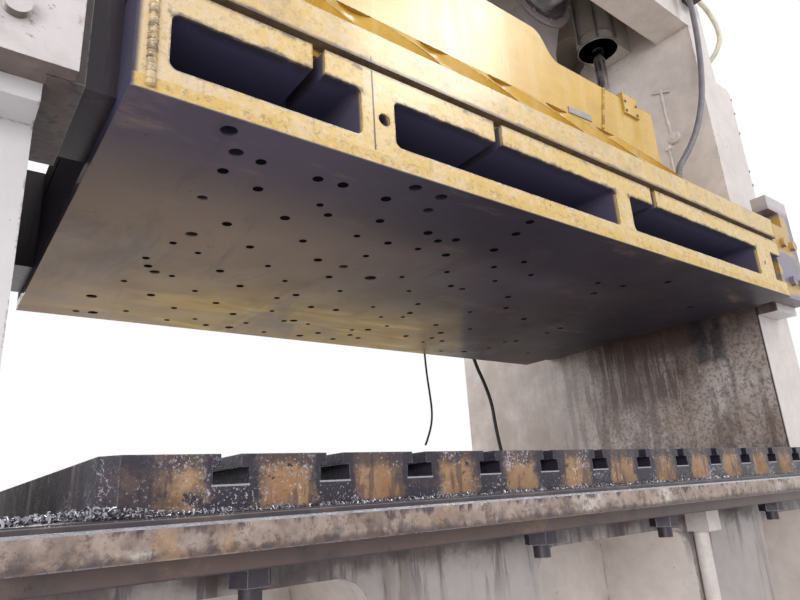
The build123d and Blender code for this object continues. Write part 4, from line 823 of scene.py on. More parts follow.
def painted(name, colour, roughness=0.4, coat=0.1, dirt=0.7, wear=0.5, scale=1.0, rust=0.0):
    """Plain machine paint with runs, dirt in its corners, dust, chips and rubbed edges."""
    c = colours()
    look = Finish(name, colour, roughness, coat=coat)
    look.mottle(6.0 * scale, 0.86, 1.06)
    look.mottle(40.0 * scale, 0.94, 1.04)
    look.lay(look.runs(20.0 * scale, 9.0, 0.34, 0.12) * dirt, c.grease_brown, 0.35)
    look.lay(look.crevice(0.05 / scale, 0.4, 1.0) * dirt, c.grease_brown, 0.5)
    if rust:
        look.lay(look.patches(24.0 * scale, 0.35) * rust, c.rust_orange, 0.7)
    look.lay(look.dust(9.0 * scale, 0.5), c.dust, 0.8)
    look.lay(look.edges(0.004, 70.0, 0.52) * wear, c.dark_steel, 0.45)
    chips = look.chips(70.0 * scale, 0.15)
    look.lay(chips * wear, c.dark_steel, 0.5)
    look.rough_noise(12.0, 0.1)
    look.raise_by(look.film(60.0 * scale, 0.3), 0.0005)
    look.raise_by(~chips, 0.0003)
    look.done()


def metal(name, colour, roughness=0.35, metallic=0.8, oil=0.5, rust=0.0, scale=1.0, grain=(1.0, 1.0, 1.0)):
    """Bare or blackened metal with machining marks, oil in its corners and rubbed edges."""
    c = colours()
    look = Finish(name, colour, roughness, metallic)
    look.mottle(9.0 * scale, 0.8, 1.1)
    if rust:
        look.lay(look.patches(18.0 * scale, 0.45, 0.15) * rust, c.rust_orange, 0.7, 0.1)
    look.lay(look.patches(7.0 * scale, 0.5, 0.3) * oil, c.oil_black, 0.2, 0.2)
    look.lay(look.crevice(0.04 / scale, 0.35, 1.0) * 0.8, c.oil_black, 0.35, 0.1)
    look.lay(look.edges(0.002, 90.0, 0.65) * 0.7, c.bare_steel, 0.25, 0.9)
    look.rough_noise(18.0, 0.12)
    look.raise_by(look.net.noise(160.0 * scale, 5.0, 0.6, stretch=grain), 0.0003)
    look.done()


def rubber(name, colour, rings=0.0, shine=0.4):
    """Rubber or plastic sheath, scuffed and dusty, ribbed where rings is above 0."""
    c = colours()
    look = Finish(name, colour, shine)
    net = look.net
    look.mottle(18.0, 0.8, 1.12)
    look.lay(look.patches(12.0, 0.42, 0.2) * 0.3, c.dust, 0.6)
    look.lay(look.chips(90.0, 0.16) * 0.6, c.oil_black, 0.3)
    look.rough_noise(30.0, 0.12)
    look.raise_by(net.noise(140.0, 4.0, 0.6), 0.0003)
    if rings:
        height = net.split(net.place())[2]
        look.raise_by(net.math("SINE", height * rings), 0.0008)
    look.done()


def make_materials():
    c = colours()
    for make in (frame_paint, slide_paint, face_plate_steel, bolster_steel, rail_steel, gib_paint, liner_iron,
                 wear_bar_bronze, hole_shade_black):
        make()
    painted("pad_iron", c.cast_iron, 0.6, 0.0, rust=0.5)
    painted("connecting_rod_paint", tone(138, 130, 130), dirt=0.8, wear=0.7)
    painted("cylinder_paint", tone(172, 166, 158), dirt=0.6)
    painted("flywheel_iron", c.cast_iron, 0.45, 0.05, wear=0.7, rust=0.25)
    painted("motor_paint", c.machine_blue, 0.42, 0.15, dirt=0.45, scale=2.0)
    painted("guard_paint", c.guard_yellow, 0.35, 0.2, dirt=0.4, wear=0.6)
    painted("pipe_paint", c.cream, wear=0.6, scale=3.0, rust=0.3)
    painted("strip_grey", tone(150, 152, 156), 0.5, 0.0, dirt=0.4, scale=3.0)
    painted("weld_cream", c.cream, dirt=0.6, wear=0.4, scale=4.0)
    metal("rod_steel", c.dark_steel, 0.4, 0.7, oil=0.4, rust=0.35)
    metal("bolt_steel", c.dark_steel, 0.4, 0.6, oil=0.6, rust=0.2, scale=3.0)
    metal("shaft_steel", c.bare_steel, 0.3, 0.9, oil=0.7, grain=(1.0, 0.1, 1.0))
    metal("balance_rod_chrome", tone(200, 200, 205), 0.15, 1.0, oil=0.35)
    metal("swarf_steel", tone(150, 150, 160), 0.3, 0.75, scale=3.0)
    metal("zinc", tone(168, 168, 166), 0.38, 0.85, oil=0.3, scale=3.0)
    rubber("belt_rubber", c.rubber, shine=0.55)
    rubber("hose_rubber", c.hose_grey, rings=700.0, shine=0.35)
    rubber("cable_rubber", c.rubber)
    rubber("conduit_plastic", c.conduit_cream)


# Meshes


def add_piece(name, shape, finish, body, smooth=35.0):
    """Mesh object of a shape's points and faces, which rides on a body, if it has one."""
    verts, faces = shape
    mesh = bpy.data.meshes.new(name)
    mesh.from_pydata([tuple(v) for v in verts], [], faces)
    mesh.validate()
    kit = bmesh.new()
    kit.from_mesh(mesh)
    bmesh.ops.recalc_face_normals(kit, faces=kit.faces)
    kit.to_mesh(mesh)
    kit.free()
    for face in mesh.polygons:
        face.use_smooth = True
    mesh.set_sharp_from_angle(angle=math.radians(smooth))
    mesh.materials.append(Finish.made[finish])
    piece = bpy.data.objects.new(name, mesh)
    bpy.context.scene.collection.objects.link(piece)
    if body:
        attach(piece, body)
    return piece


def ring(radius, height, sides=24, flats=0):
    """Points of a circle, or of a polygon with that many flats, at a height."""
    points = []
    for i in range(sides):
        angle = 2 * math.pi * i / sides
        reach = radius
        if flats:
            part = math.pi / flats
            reach = radius * math.cos(part) / math.cos((angle + part) % (2 * part) - part)
        points.append(Vector((reach * math.cos(angle), reach * math.sin(angle), height)))
    return points


def stack(rings):
    """Closed solid through rings of like count, as (points, faces)."""
    sides = len(rings[0])
    verts = [point for row in rings for point in row]
    faces = [tuple(range(sides - 1, -1, -1))]
    for row in range(len(rings) - 1):
        for i in range(sides):
            j = (i + 1) % sides
            low, high = row * sides, (row + 1) * sides
            faces.append((low + i, low + j, high + j, high + i))
    last = (len(rings) - 1) * sides
    faces.append(tuple(range(last, last + sides)))
    return verts, faces


def turned(*profile, sides=24):
    """Turned solid through (radius, height) or (radius, height, flats)."""
    return stack([ring(radius, height, sides, *flats) for radius, height, *flats in profile])


def joined(shapes):
    verts, faces = [], []
    for points, sides in shapes:
        start = len(verts)
        verts += points
        faces += [tuple(start + i for i in side) for side in sides]
    return verts, faces


def stamped(shape, matrices):
    """Many copies of a shape in one."""
    return joined([([matrix @ Vector(v) for v in shape[0]], shape[1]) for matrix in matrices])


def toward(place, direction, spin=0.0):
    """Matrix that puts a piece at a place, with its z along a direction."""
    turn = Vector(direction).normalized().to_track_quat("Z", "Y").to_matrix().to_4x4()
    return Matrix.Translation(Vector(place)) @ turn @ Matrix.Rotation(spin, 4, "Z")


def round_about(centre, radius, angle, across=RIGHT, up=UP):
    """Place at an angle on a circle, in the plane of two directions."""
    return Vector(centre) + across * radius * math.cos(angle) + up * radius * math.sin(angle)


def bolt_circle(count, first, radius, centre, way):
    """Matrices for bolts round a centre, from the first angle in degrees, that look along Y or against it."""
    places = []
    for i in range(count):
        angle = math.radians(first + 360 / count * i)
        places.append(toward(round_about(centre, radius, angle), (0, way, 0), angle))
    return places


def bar(low, high, chamfer):
    """Box between two corners with chamfered upright edges and rims."""
    low, high = Vector(low), Vector(high)
    c = min(chamfer, 0.3 * min(high - low))

    def outline(inset, height):
        x0, y0, x1, y1 = low.x + inset, low.y + inset, high.x - inset, high.y - inset
        corners = ((x0 + c, y0), (x1 - c, y0), (x1, y0 + c), (x1, y1 - c),
                   (x1 - c, y1), (x0 + c, y1), (x0, y1 - c), (x0, y0 + c))
        return [Vector((x, y, height)) for x, y in corners]

    return stack([outline(c, low.z), outline(0, low.z + c), outline(0, high.z - c), outline(c, high.z)])


def hex_bolt(flats, height):
    """Hexagon head on a washer."""
    radius = flats / math.sqrt(3)
    return turned((radius * 1.18, 0.0), (radius * 1.22, height * 0.06), (radius * 1.18, height * 0.16),
                  (radius, height * 0.17, 6), (radius, height * 0.86, 6), (radius * 0.82, height))


def socket_screw(radius, height):
    """Round head with a hexagon socket."""
    return turned((radius, 0.0), (radius, height * 0.86), (radius * 0.9, height), (radius * 0.56, height),
                  (radius * 0.52, height * 0.97, 6), (radius * 0.5, height * 0.4, 6),
                  (radius * 0.1, height * 0.32))


def domed_screw(radius, height):
    return turned((radius, 0.0), (radius * 0.97, height * 0.45), (radius * 0.8, height * 0.85),
                  (radius * 0.4, height), (radius * 0.1, height))


def swept(points, sections, sides=10):
    """Tube through points, with a radius for each."""
    rings = []
    side = None
    for i, point in enumerate(points):
        ahead = points[min(i + 1, len(points) - 1)] - points[max(i - 1, 0)]
        ahead.normalize()
        if side is None:
            side = ahead.orthogonal().normalized()
        side = (side - ahead * side.dot(ahead)).normalized()
        other = ahead.cross(side)
        angles = [2 * math.pi * k / sides for k in range(sides)]
        rings.append([point + (side * math.cos(a) + other * math.sin(a)) * sections[i] for a in angles])
    return stack(rings)


def tube(points, radius, sides=10):
    return swept([Vector(point) for point in points], [radius] * len(points), sides)


def bent_pipe(points, radius, bend, steps=6):
    """Pipe in straight runs, with an arc at each inner point."""
    points = [Vector(point) for point in points]
    path = [points[0]]
    for before, corner, after in zip(points, points[1:], points[2:]):
        start = corner + (before - corner).normalized() * bend
        end = corner + (after - corner).normalized() * bend
        for k in range(steps + 1):
            t = k / steps
            path.append(start * (1 - t) ** 2 + corner * 2 * t * (1 - t) + end * t ** 2)
    path.append(points[-1])
    return tube(path, radius)


def loop(centre, radius, steps, across=RIGHT, up=UP):
    """Path once round a circle."""
    return [round_about(centre, radius, 2 * math.pi * k / steps, across, up) for k in range(steps + 1)]


def weld(points, radius, pitch, seed):
    """Weld bead along straight runs, with a ripple at each pitch."""
    ripple = ((0.0, 0.82), (0.45, 1.08), (0.8, 1.0))
    chance = random.Random(seed)
    path, sections = [], []
    for start, end in zip(points, points[1:]):
        start, end = Vector(start), Vector(end)
        count = max(2, int((end - start).length / pitch))
        for i in range(count):
            for part, size in ripple:
                path.append(start.lerp(end, (i + part) / count))
                sections.append(radius * size * chance.uniform(0.88, 1.1))
    return swept(path, sections)


def smooth_line(name, points):
    """Curve with these control points."""
    curve = bpy.data.curves.new(name, "CURVE")
    curve.dimensions = "3D"
    spline = curve.splines.new("NURBS")
    spline.points.add(len(points) - 1)
    for point, place in zip(spline.points, points):
        point.co = (*place, 1.0)
    spline.order_u = 3
    spline.use_endpoint_u = True
    spline.resolution_u = 12
    line = bpy.data.objects.new(name, curve)
    bpy.context.scene.collection.objects.link(line)
    return line


def line_points(points):
    """Points along the smooth line with these control points."""
    line = smooth_line("line", points)
    curve, mesh = line.data, bpy.data.meshes.new_from_object(line)
    path = [vertex.co.copy() for vertex in mesh.vertices]
    bpy.data.objects.remove(line)
    bpy.data.curves.remove(curve)
    bpy.data.meshes.remove(mesh)
    return path


def hung_cord(name, points, diameter, finish, body):
    """Cord whose smooth line has these control points."""
    cord = smooth_line(name, points)
    cord.data.bevel_depth = diameter / 2
    cord.data.bevel_resolution = 5
    cord.data.use_fill_caps = True
    cord.data.materials.append(Finish.made[finish])
    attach(cord, body)
    return cord


def relief(name, start, next_point, radius, length, body, finish="zinc"):
    """Tapered strain relief with rings, from start along the cord."""
    start = Vector(start)
    along = (Vector(next_point) - start).normalized()
    steps, groove = 12, 0.93
    path, sections = [], []
    for i in range(steps + 1):
        part = i / steps
        path.append(start + along * length * part)
        sections.append(radius * (2.0 - 0.85 * part) * (groove if i % 2 else 1.0))
    return add_piece(name, swept(path, sections), finish, body)


# Operators


def add_lamp(name, place, target, size, power, colour):
    light = bpy.data.lights.new(name, "AREA")
    light.shape = "RECTANGLE"
    light.size, light.size_y = size
    light.energy = power
    light.color = colour
    lamp = bpy.data.objects.new(name, light)
    lamp.matrix_world = toward(place, Vector(place) - Vector(target))
    bpy.context.scene.collection.objects.link(lamp)


class PRESS_OT_stage(bpy.types.Operator):
    """Set up the camera, the floor, the lamps and the backdrop."""

    bl_idname = "press.stage"
    bl_label = "Stage"

    def execute(self, context):
        scene = context.scene
        lens = bpy.data.cameras.new("camera")
        lens.sensor_width = 36.0
        lens.lens = lens.sensor_width * FOCAL_PIXELS / PHOTO_WIDTH
        lens.clip_start = 0.02
        camera = bpy.data.objects.new("camera", lens)
        turn = Matrix((CAMERA_RIGHT, CAMERA_UP, CAMERA_BACK)).transposed().to_4x4()
        camera.matrix_world = Matrix.Translation(CAMERA_PLACE) @ turn.to_quaternion().to_matrix().to_4x4()
        scene.collection.objects.link(camera)
        scene.camera = camera
        scene.view_settings.view_transform = "Standard"

        bpy.ops.mesh.primitive_grid_add(x_subdivisions=4, y_subdivisions=4, size=30.0)
        floor = context.object
        floor.name = "floor"
        Finish("floor", (0.82, 0.82, 0.82, 1.0), 0.75, level=0.2).done()
        floor.data.materials.append(Finish.made["floor"])

        add_lamp("key", (2.5, -3.9, 5.5), (-0.38, -0.82, 2.05), (1.8, 1.4), 88.0, (1.0, 0.98, 0.95))
        add_lamp("fill", (-6.0, -6.0, 3.0), (0.0, -0.6, 1.4), (3.6, 3.0), 290.0, (1.0, 0.98, 1.0))
        add_lamp("back", (-1.0, 5.0, 3.2), (0.0, 0.0, 1.8), (3.5, 2.5), 180.0, (1.0, 0.98, 1.0))

        scene.world = bpy.data.worlds.new("studio")
        scene.world.use_nodes = True
        tree = scene.world.node_tree
        tree.nodes.clear()
        net = Net(tree)
        plain = net.add("ShaderNodeBackground", {"Color": (1.0, 0.97, 0.99, 1.0), "Strength": 0.74})
        white = net.add("ShaderNodeBackground", {"Color": (1.0, 1.0, 1.0, 1.0), "Strength": 1.0})
        rays = net.add("ShaderNodeLightPath").outputs
        seen = Field(net, rays["Is Camera Ray"]).most(rays["Is Transmission Ray"]).most(rays["Is Glossy Ray"])
        both = net.add("ShaderNodeMixShader", {0: seen, 1: plain.outputs[0], 2: white.outputs[0]})
        net.add("ShaderNodeOutputWorld", {0: both.outputs[0]})
        return {"FINISHED"}


class PRESS_OT_slide_hose(bpy.types.Operator):
    """Hang the air hose from the crown to the slide."""

    bl_idname = "press.slide_hose"
    bl_label = "Slide hose"

    def execute(self, context):
        points = (
            (1.116, -0.836, 2.976), (1.116, -0.836, 2.836), (1.095, -0.836, 2.684), (1.050, -0.839, 2.530),
            (0.985, -0.843, 2.380), (0.900, -0.846, 2.245), (0.815, -0.846, 2.137), (0.745, -0.843, 2.062),
            (0.672, -0.837, 1.985), (0.672, -0.837, 1.885),
        )
        diameter = sizes().slide_hose_diameter
        path = line_points(points)
        hose = add_piece("slide_hose_skin", tube(path, diameter / 2, 20), "hose_rubber", None)
        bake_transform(hose)
        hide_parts("slide_hose")
        top = relief("slide_hose_top_relief", points[0], points[1], 0.0122, 0.045, "frame")
        low = relief("slide_hose_low_relief", points[-1], points[-2], 0.0122, 0.04, "slide")
        return {"FINISHED"}


class PRESS_OT_rear_cable(bpy.types.Operator):
    """Hang the cut cable behind the slide."""

    bl_idname = "press.rear_cable"
    bl_label = "Rear cable"

    def execute(self, context):
        points = (
            (0.470, 0.300, 2.824), (0.470, 0.300, 2.704), (0.473, 0.301, 2.578), (0.479, 0.302, 2.452),
            (0.484, 0.304, 2.325), (0.486, 0.304, 2.200), (0.485, 0.303, 2.075), (0.481, 0.302, 1.950),
            (0.475, 0.301, 1.830), (0.469, 0.300, 1.715), (0.466, 0.300, 1.600), (0.470, 0.300, 1.500),
            (0.480, 0.300, 1.410), (0.486, 0.300, 1.330), (0.470, 0.300, 1.258), (0.437, 0.301, 1.198),
        )
        diameter = sizes().rear_cable_diameter
        cable = hung_cord("rear_cable_skin", points, diameter, "cable_rubber", "frame")
        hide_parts("rear_cable")
        boot = relief("rear_cable_relief", points[0], points[1], 0.0052, 0.04, "frame", "cable_rubber")
        return {"FINISHED"}


class PRESS_OT_rear_hose(bpy.types.Operator):
    """Hang the hose behind the slide, down to the bed."""

    bl_idname = "press.rear_hose"
    bl_label = "Rear hose"

    def execute(self, context):
        points = (
            (0.836, 0.420, 2.824), (0.836, 0.420, 2.644), (0.833, 0.421, 2.450), (0.832, 0.422, 2.260),
            (0.834, 0.422, 2.070), (0.840, 0.422, 1.890), (0.852, 0.421, 1.730), (0.884, 0.420, 1.600),
            (0.938, 0.420, 1.500), (0.972, 0.420, 1.405), (0.981, 0.420, 1.300), (0.997, 0.420, 1.205),
            (1.016, 0.420, 1.115), (1.016, 0.420, 1.037),
        )
        diameter = sizes().rear_hose_diameter
        hose = hung_cord("rear_hose_skin", points, diameter, "cable_rubber", "frame")
        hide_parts("rear_hose")
        top = relief("rear_hose_top_relief", points[0], points[1], 0.0096, 0.045, "frame")
        low = relief("rear_hose_low_relief", points[-1], points[-2], 0.0096, 0.04, "frame")
        return {"FINISHED"}


class PRESS_OT_finishes(bpy.types.Operator):
    """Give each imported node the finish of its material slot."""

    bl_idname = "press.finishes"
    bl_label = "Finishes"

    def execute(self, context):
        for row in frame["record"]["subparts"]:
            node = cad[row["node"]]
            node.data.materials.clear()
            node.data.materials.append(Finish.made[row["material_slot"]])
        return {"FINISHED"}


def photo_ray(u, v):
    """Direction from the camera through a point of the picture."""
    side = (u - PHOTO_WIDTH / 2) / FOCAL_PIXELS
    down = (v - PHOTO_HEIGHT / 2) / FOCAL_PIXELS
    return CAMERA_RIGHT * side - CAMERA_UP * down - CAMERA_BACK


class PRESS_OT_small_holes(bpy.types.Operator):
    """Set near-black discs, painted shade of the small tapped holes, into the underside of the face plate."""

    bl_idname = "press.small_holes"
    bl_label = "Small holes"

    marks = (
        (261, 162), (223, 171), (318, 179), (343, 185), (258, 189), (386, 199), (320, 205), (328, 215),
        (285, 218), (380, 221), (227, 224), (357, 236), (303, 241), (173, 243), (388, 243), (250, 247),
        (198, 253), (366, 256), (146, 258), (318, 260), (148, 266), (268, 266), (220, 271), (172, 276),
        (329, 277), (124, 281), (285, 281), (240, 286), (195, 291), (340, 291), (151, 295), (296, 295),
        (277, 298), (428, 233), (438, 241), (456, 240), (418, 249), (446, 255), (530, 222), (494, 250),
        (516, 234), (524, 262), (494, 267), (447, 272), (495, 281), (402, 277), (531, 275), (451, 286),
        (409, 291), (508, 297), (598, 283), (623, 286), (668, 282), (76, 311), (126, 311), (174, 308),
        (216, 303), (195, 319), (233, 314), (272, 311), (311, 307), (336, 310), (373, 307), (206, 325),
        (246, 323), (284, 321), (308, 324), (381, 317), (387, 326), (318, 333), (352, 330), (350, 335),
        (358, 338), (333, 339), (264, 332), (167, 320), (418, 304), (410, 313), (403, 317), (436, 325),
        (432, 338), (406, 336), (423, 342), (442, 341), (470, 312), (470, 329), (506, 308), (524, 319),
        (505, 342), (516, 341), (489, 348), (547, 333), (441, 351), (528, 353),
    )

    def execute(self, context):
        low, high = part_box("face_plate")
        radius, margin, depth = sizes().hole_radius, 0.02, 0.0006
        chance = random.Random(5)
        matrices = []
        for u, v in self.marks:
            ray = photo_ray(u, v)
            place = CAMERA_PLACE + ray * ((low.z - CAMERA_PLACE.z) / ray.z)
            inside_x = low.x + margin < place.x < high.x - margin
            inside_y = low.y + margin < place.y < high.y - margin
            if not (inside_x and inside_y):
                raise RuntimeError(f"hole at {u}, {v} is off the face plate")
            grow = Matrix.Scale(chance.uniform(0.85, 1.25), 4)
            matrices.append(Matrix.Translation((place.x, place.y, low.z - depth / 2)) @ grow)
        # Painted shade: each hole is a thin near-black disc, not a cut.
        holes = stamped(turned((radius, 0.0), (radius * 0.97, depth), sides=20), matrices)
        add_piece("face_plate_small_holes", holes, "hole_shade_black", "slide")
        return {"FINISHED"}


class PRESS_OT_slide_welds(bpy.types.Operator):
    """Lay the weld beads of the slide and riser."""

    bl_idname = "press.slide_welds"
    bl_label = "Slide welds"

    def execute(self, context):
        s = sizes()
        runs = [((0.502, BODY_FRONT - 0.001, 2.168), (0.55, BODY_FRONT - 0.001, 2.352))]
        for side in (-1, 1):
            flare_end, body_end = side * 0.645, side * 0.860
            corner = (flare_end, BODY_FRONT, FLANGE_TOP)
            far_corner = (body_end, BODY_FRONT, FLANGE_TOP)
            runs += [(corner, far_corner), (far_corner, (body_end, 0.010, FLANGE_TOP)),
                     (corner, (flare_end, BODY_FRONT, 2.160)), (corner, (flare_end, -0.922, FLANGE_TOP))]
        shapes = [weld(run, s.weld_radius, s.weld_pitch, i) for i, run in enumerate(runs)]
        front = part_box("riser_left")[0].y
        riser_end = ((-1.041, front, 1.580), (-1.043, front, 1.764))
        shapes.append(weld(riser_end, s.weld_radius * 1.35, s.weld_pitch * 0.8, 21))
        add_piece("slide_weld_beads", joined(shapes), "slide_paint", "slide", smooth=50.0)
        return {"FINISHED"}


class PRESS_OT_slide_details(bpy.types.Operator):
    """Add the blank strip and the screws on the slide."""

    bl_idname = "press.slide_details"
    bl_label = "Slide details"

    def execute(self, context):
        strip = bar((-0.061, -0.0035, -0.012), (0.061, 0.0005, 0.012), 0.0008)
        turn = Matrix.Translation((0.379, BODY_FRONT, 2.184)) @ Matrix.Rotation(math.radians(-3), 4, "Y")
        add_piece("slide_blank_strip", stamped(strip, [turn]), "strip_grey", "slide")
        low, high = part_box("slide_hatch")
        places = []
        for x in (low.x + 0.012, high.x - 0.012):
            for z in (low.z + 0.012, high.z - 0.034):
                places.append(toward((x, low.y + 0.0005, z), (0, -1, 0), x))
        screws = stamped(domed_screw(0.006, 0.004), places)
        add_piece("hatch_screws", screws, "bolt_steel", "slide")
        return {"FINISHED"}


class PRESS_OT_frame_welds(bpy.types.Operator):
    """Lay the weld beads of the bed, uprights and crown."""

    bl_idname = "press.frame_welds"
    bl_label = "Frame welds"

    def execute(self, context):
        s = sizes()
        runs = []
        for side in (-1, 1):
            inner, narrow, wide, outer = side * WALL, side * 1.3055, side * 1.4195, side * OUTER
            for end in (-1, 1):
                web, flange = end * 0.640, end * FLANGE
                runs += [((wide, web, 1.03), (wide, web, 2.60)),
                         ((narrow, web, 2.64), (narrow, web, 2.85)),
                         ((inner + side * 0.02, flange, BED_TOP), (wide, flange, BED_TOP)),
                         ((side * 1.2125, flange, 0.110), (outer, flange, 0.110)),
                         ((narrow, web, 2.88), (narrow, web, 3.94))]
            runs += [((outer, -0.62, level), (outer, 0.62, level)) for level in (BED_TOP, CROWN_BOTTOM)]
        runs.append(((-1.15, -0.8696, 0.936), (1.15, -0.8696, 0.936)))
        for saddle in (-0.430, 0.430):
            for x in (saddle - 0.030, saddle + 0.030):
                runs.append(((x, -0.595, CROWN_TOP), (x, -0.265, CROWN_TOP)))
        shapes = [weld(run, s.weld_radius, s.weld_pitch * 1.4, 40 + i) for i, run in enumerate(runs)]
        add_piece("frame_weld_beads", joined(shapes), "weld_cream", "frame", smooth=50.0)
        return {"FINISHED"}


def curled_chip(length, width, curl):
    """Curled cutting chip with a three-sided section."""
    sections = 4
    rings = []
    for i in range(sections):
        part = i / (sections - 1) - 0.5
        lift = length * curl * (0.25 - part * part)
        half = width * (0.5 if i in (0, sections - 1) else 1.0) / 2
        rings.append([Vector((part * length, -half, lift)), Vector((part * length, half, lift)),
                      Vector((part * length, 0.0, lift + half * 0.7))])
    return stack(rings)


class PRESS_OT_swarf(bpy.types.Operator):
    """Strew cutting chips in the oil on the ledge round the bolster's left front corner."""

    bl_idname = "press.swarf"
    bl_label = "Swarf"

    def execute(self, context):
        chance = random.Random(31)
        bed_low, bed_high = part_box("bed")
        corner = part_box("bolster")[0]
        front, heap_height, heap_width = -0.985, 0.014, 0.07
        shapes = []
        for i in range(sizes().chip_count):
            if i % 3:
                x = corner.x - 0.09 + 1.5 * chance.random() ** 3.2
                y = chance.uniform(front, corner.y - 0.006)
            else:
                x = chance.uniform(max(bed_low.x, -1.155), corner.x - 0.006)
                y = front + 0.75 * chance.random() ** 1.6
            heap = heap_height * math.exp(-math.hypot(x - corner.x, y - corner.y) / heap_width)
            z = bed_high.z + 0.0006 + heap * chance.random()
            length, width = chance.uniform(0.003, 0.013), chance.uniform(0.0012, 0.0035)
            chip = curled_chip(length, width, chance.uniform(0.5, 2.2))
            turn = Matrix.Rotation(chance.uniform(0, 2 * math.pi), 4, "Z")
            tilt = Matrix.Rotation(chance.uniform(-0.5, 0.5) * min(1.0, heap * 200), 4, "X")
            shapes.append(stamped(chip, [Matrix.Translation((x, y, z)) @ turn @ tilt]))
        add_piece("swarf", joined(shapes), "swarf_steel", "frame", smooth=20.0)
        return {"FINISHED"}


class PRESS_OT_covers(bpy.types.Operator):
    """Screw down the covers of the uprights and the crown's bearing caps."""

    bl_idname = "press.covers"
    bl_label = "Cover screws"

    def execute(self, context):
        edge, inner, half_height, thickness = 0.335, 0.112, 0.275, 0.012
        places = []
        for side, node in ((-1, "upright_covers_left"), (1, "upright_covers_right")):
            low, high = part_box(node)
            face = (high.x if side > 0 else low.x) - side * thickness
            for level in (1.503, 2.358):
                for y in (-edge, -inner, inner, edge):
                    for z in (level - half_height, level + half_height):
                        places.append(toward((face, y, z), (side, 0, 0), 7 * y))
                for y in (-edge, edge):
                    places.append(toward((face, y, level), (side, 0, 0), 3 * level))
        bolts = stamped(hex_bolt(0.024, 0.011), places)
        add_piece("upright_cover_bolts", bolts, "zinc", "frame")
        places = []
        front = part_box("bearing_caps")[0].y + 0.010
        for x in (-CRANK_X, CRANK_X):
            places += bolt_circle(6, 0, 0.110, (x, front, 3.018), -1)
        screws = stamped(socket_screw(sizes().cover_screw_radius * 1.16, 0.0099), places)
        add_piece("bearing_cap_screws", screws, "bolt_steel", "frame")
        return {"FINISHED"}


class PRESS_OT_grease_line(bpy.types.Operator):
    """Put the grease line, its block and nipple on the right inner wall."""

    bl_idname = "press.grease_line"
    bl_label = "Grease line"

    def execute(self, context):
        def at(out, back, up):
            """Place that far off the wall, behind the block's centre and above it."""
            return WALL - out, -0.633 + back, 2.387 + up

        block = turned((0.026, 0.0), (0.026, 0.012), (0.023, 0.016), (0.012, 0.0165), (0.0115, 0.0195),
                       (0.004, 0.0198))
        nipple = turned((0.0155, 0.0, 6), (0.0155, 0.013, 6), (0.012, 0.016), (0.005, 0.0195),
                        (0.003, 0.0198))
        riser = at(0.008, 0.008, 0.02), at(0.008, 0.014, 0.10), at(0.008, 0.014, 0.245)
        drop = at(0.007, 0.032, -0.05), at(0.007, 0.030, -0.10), at(0.007, 0.030, -0.183)
        branch = at(0.008, 0.052, 0.252), at(0.008, 0.014, 0.236), at(0.008, -0.024, 0.220)
        shapes = [
            stamped(block, [toward(at(0, 0, 0), (-1, 0, 0))]),
            stamped(nipple, [toward(at(0, 0.032, -0.034), (-1, 0, 0))]),
            bent_pipe(riser, 0.0055, 0.02),
            bent_pipe(drop, 0.005, 0.02),
            bent_pipe(branch, 0.006, 0.01),
        ]
        piece = add_piece("grease_pipework", joined(shapes), "pipe_paint", "frame")
        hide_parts("grease_line")
        return {"FINISHED"}


class PRESS_OT_drive_details(bpy.types.Operator):
    """Add rings and bolts to the straps, and bands and rods to the balance cylinders."""

    bl_idname = "press.drive_details"
    bl_label = "Drive details"

    def execute(self, context):
        points, faces = turned((0.2385, 0.0), (0.2385, 0.008), (0.232, 0.012), (0.206, 0.012),
                               (0.2005, 0.006), (0.1945, 0.0), sides=48)
        open_ring = (points, faces[1:-1])
        band = turned((0.080, -0.004), (0.088, -0.004), (0.0895, 0.0), (0.088, 0.004), (0.080, 0.004),
                      sides=32)
        for side, name in ((-1, "left"), (1, "right")):
            shapes = []
            for way in (-1, 1):
                face = Vector((side * CRANK_X, -0.345 + way * 0.100, 3.0942))
                shapes.append(stamped(open_ring, [toward(face, (0, way, 0))]))
                bolts = bolt_circle(12, 15, 0.2165, face + BACK * way * 0.0118, way)
                shapes.append(stamped(hex_bolt(0.017, 0.009), bolts))
            add_piece(f"strap_ring_{name}", joined(shapes), "connecting_rod_paint", f"rod_{name}")
            low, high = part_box(f"balance_cylinder_{name}")
            x, y = side * 1.015, -0.440
            levels = (low.z + 0.004, low.z + 0.052, high.z - 0.052, high.z - 0.004)
            shapes = [stamped(band, [Matrix.Translation((x, y, z)) for z in levels])]
            for turn in (1.2, 2.2, 3.2):
                ends = [round_about((x, y, z), 0.094, side * turn + 1.6, RIGHT, BACK)
                        for z in (low.z + 0.01, high.z - 0.01)]
                shapes.append(tube(ends, 0.005))
            add_piece(f"balance_bands_{name}", joined(shapes), "zinc", "frame")
        return {"FINISHED"}


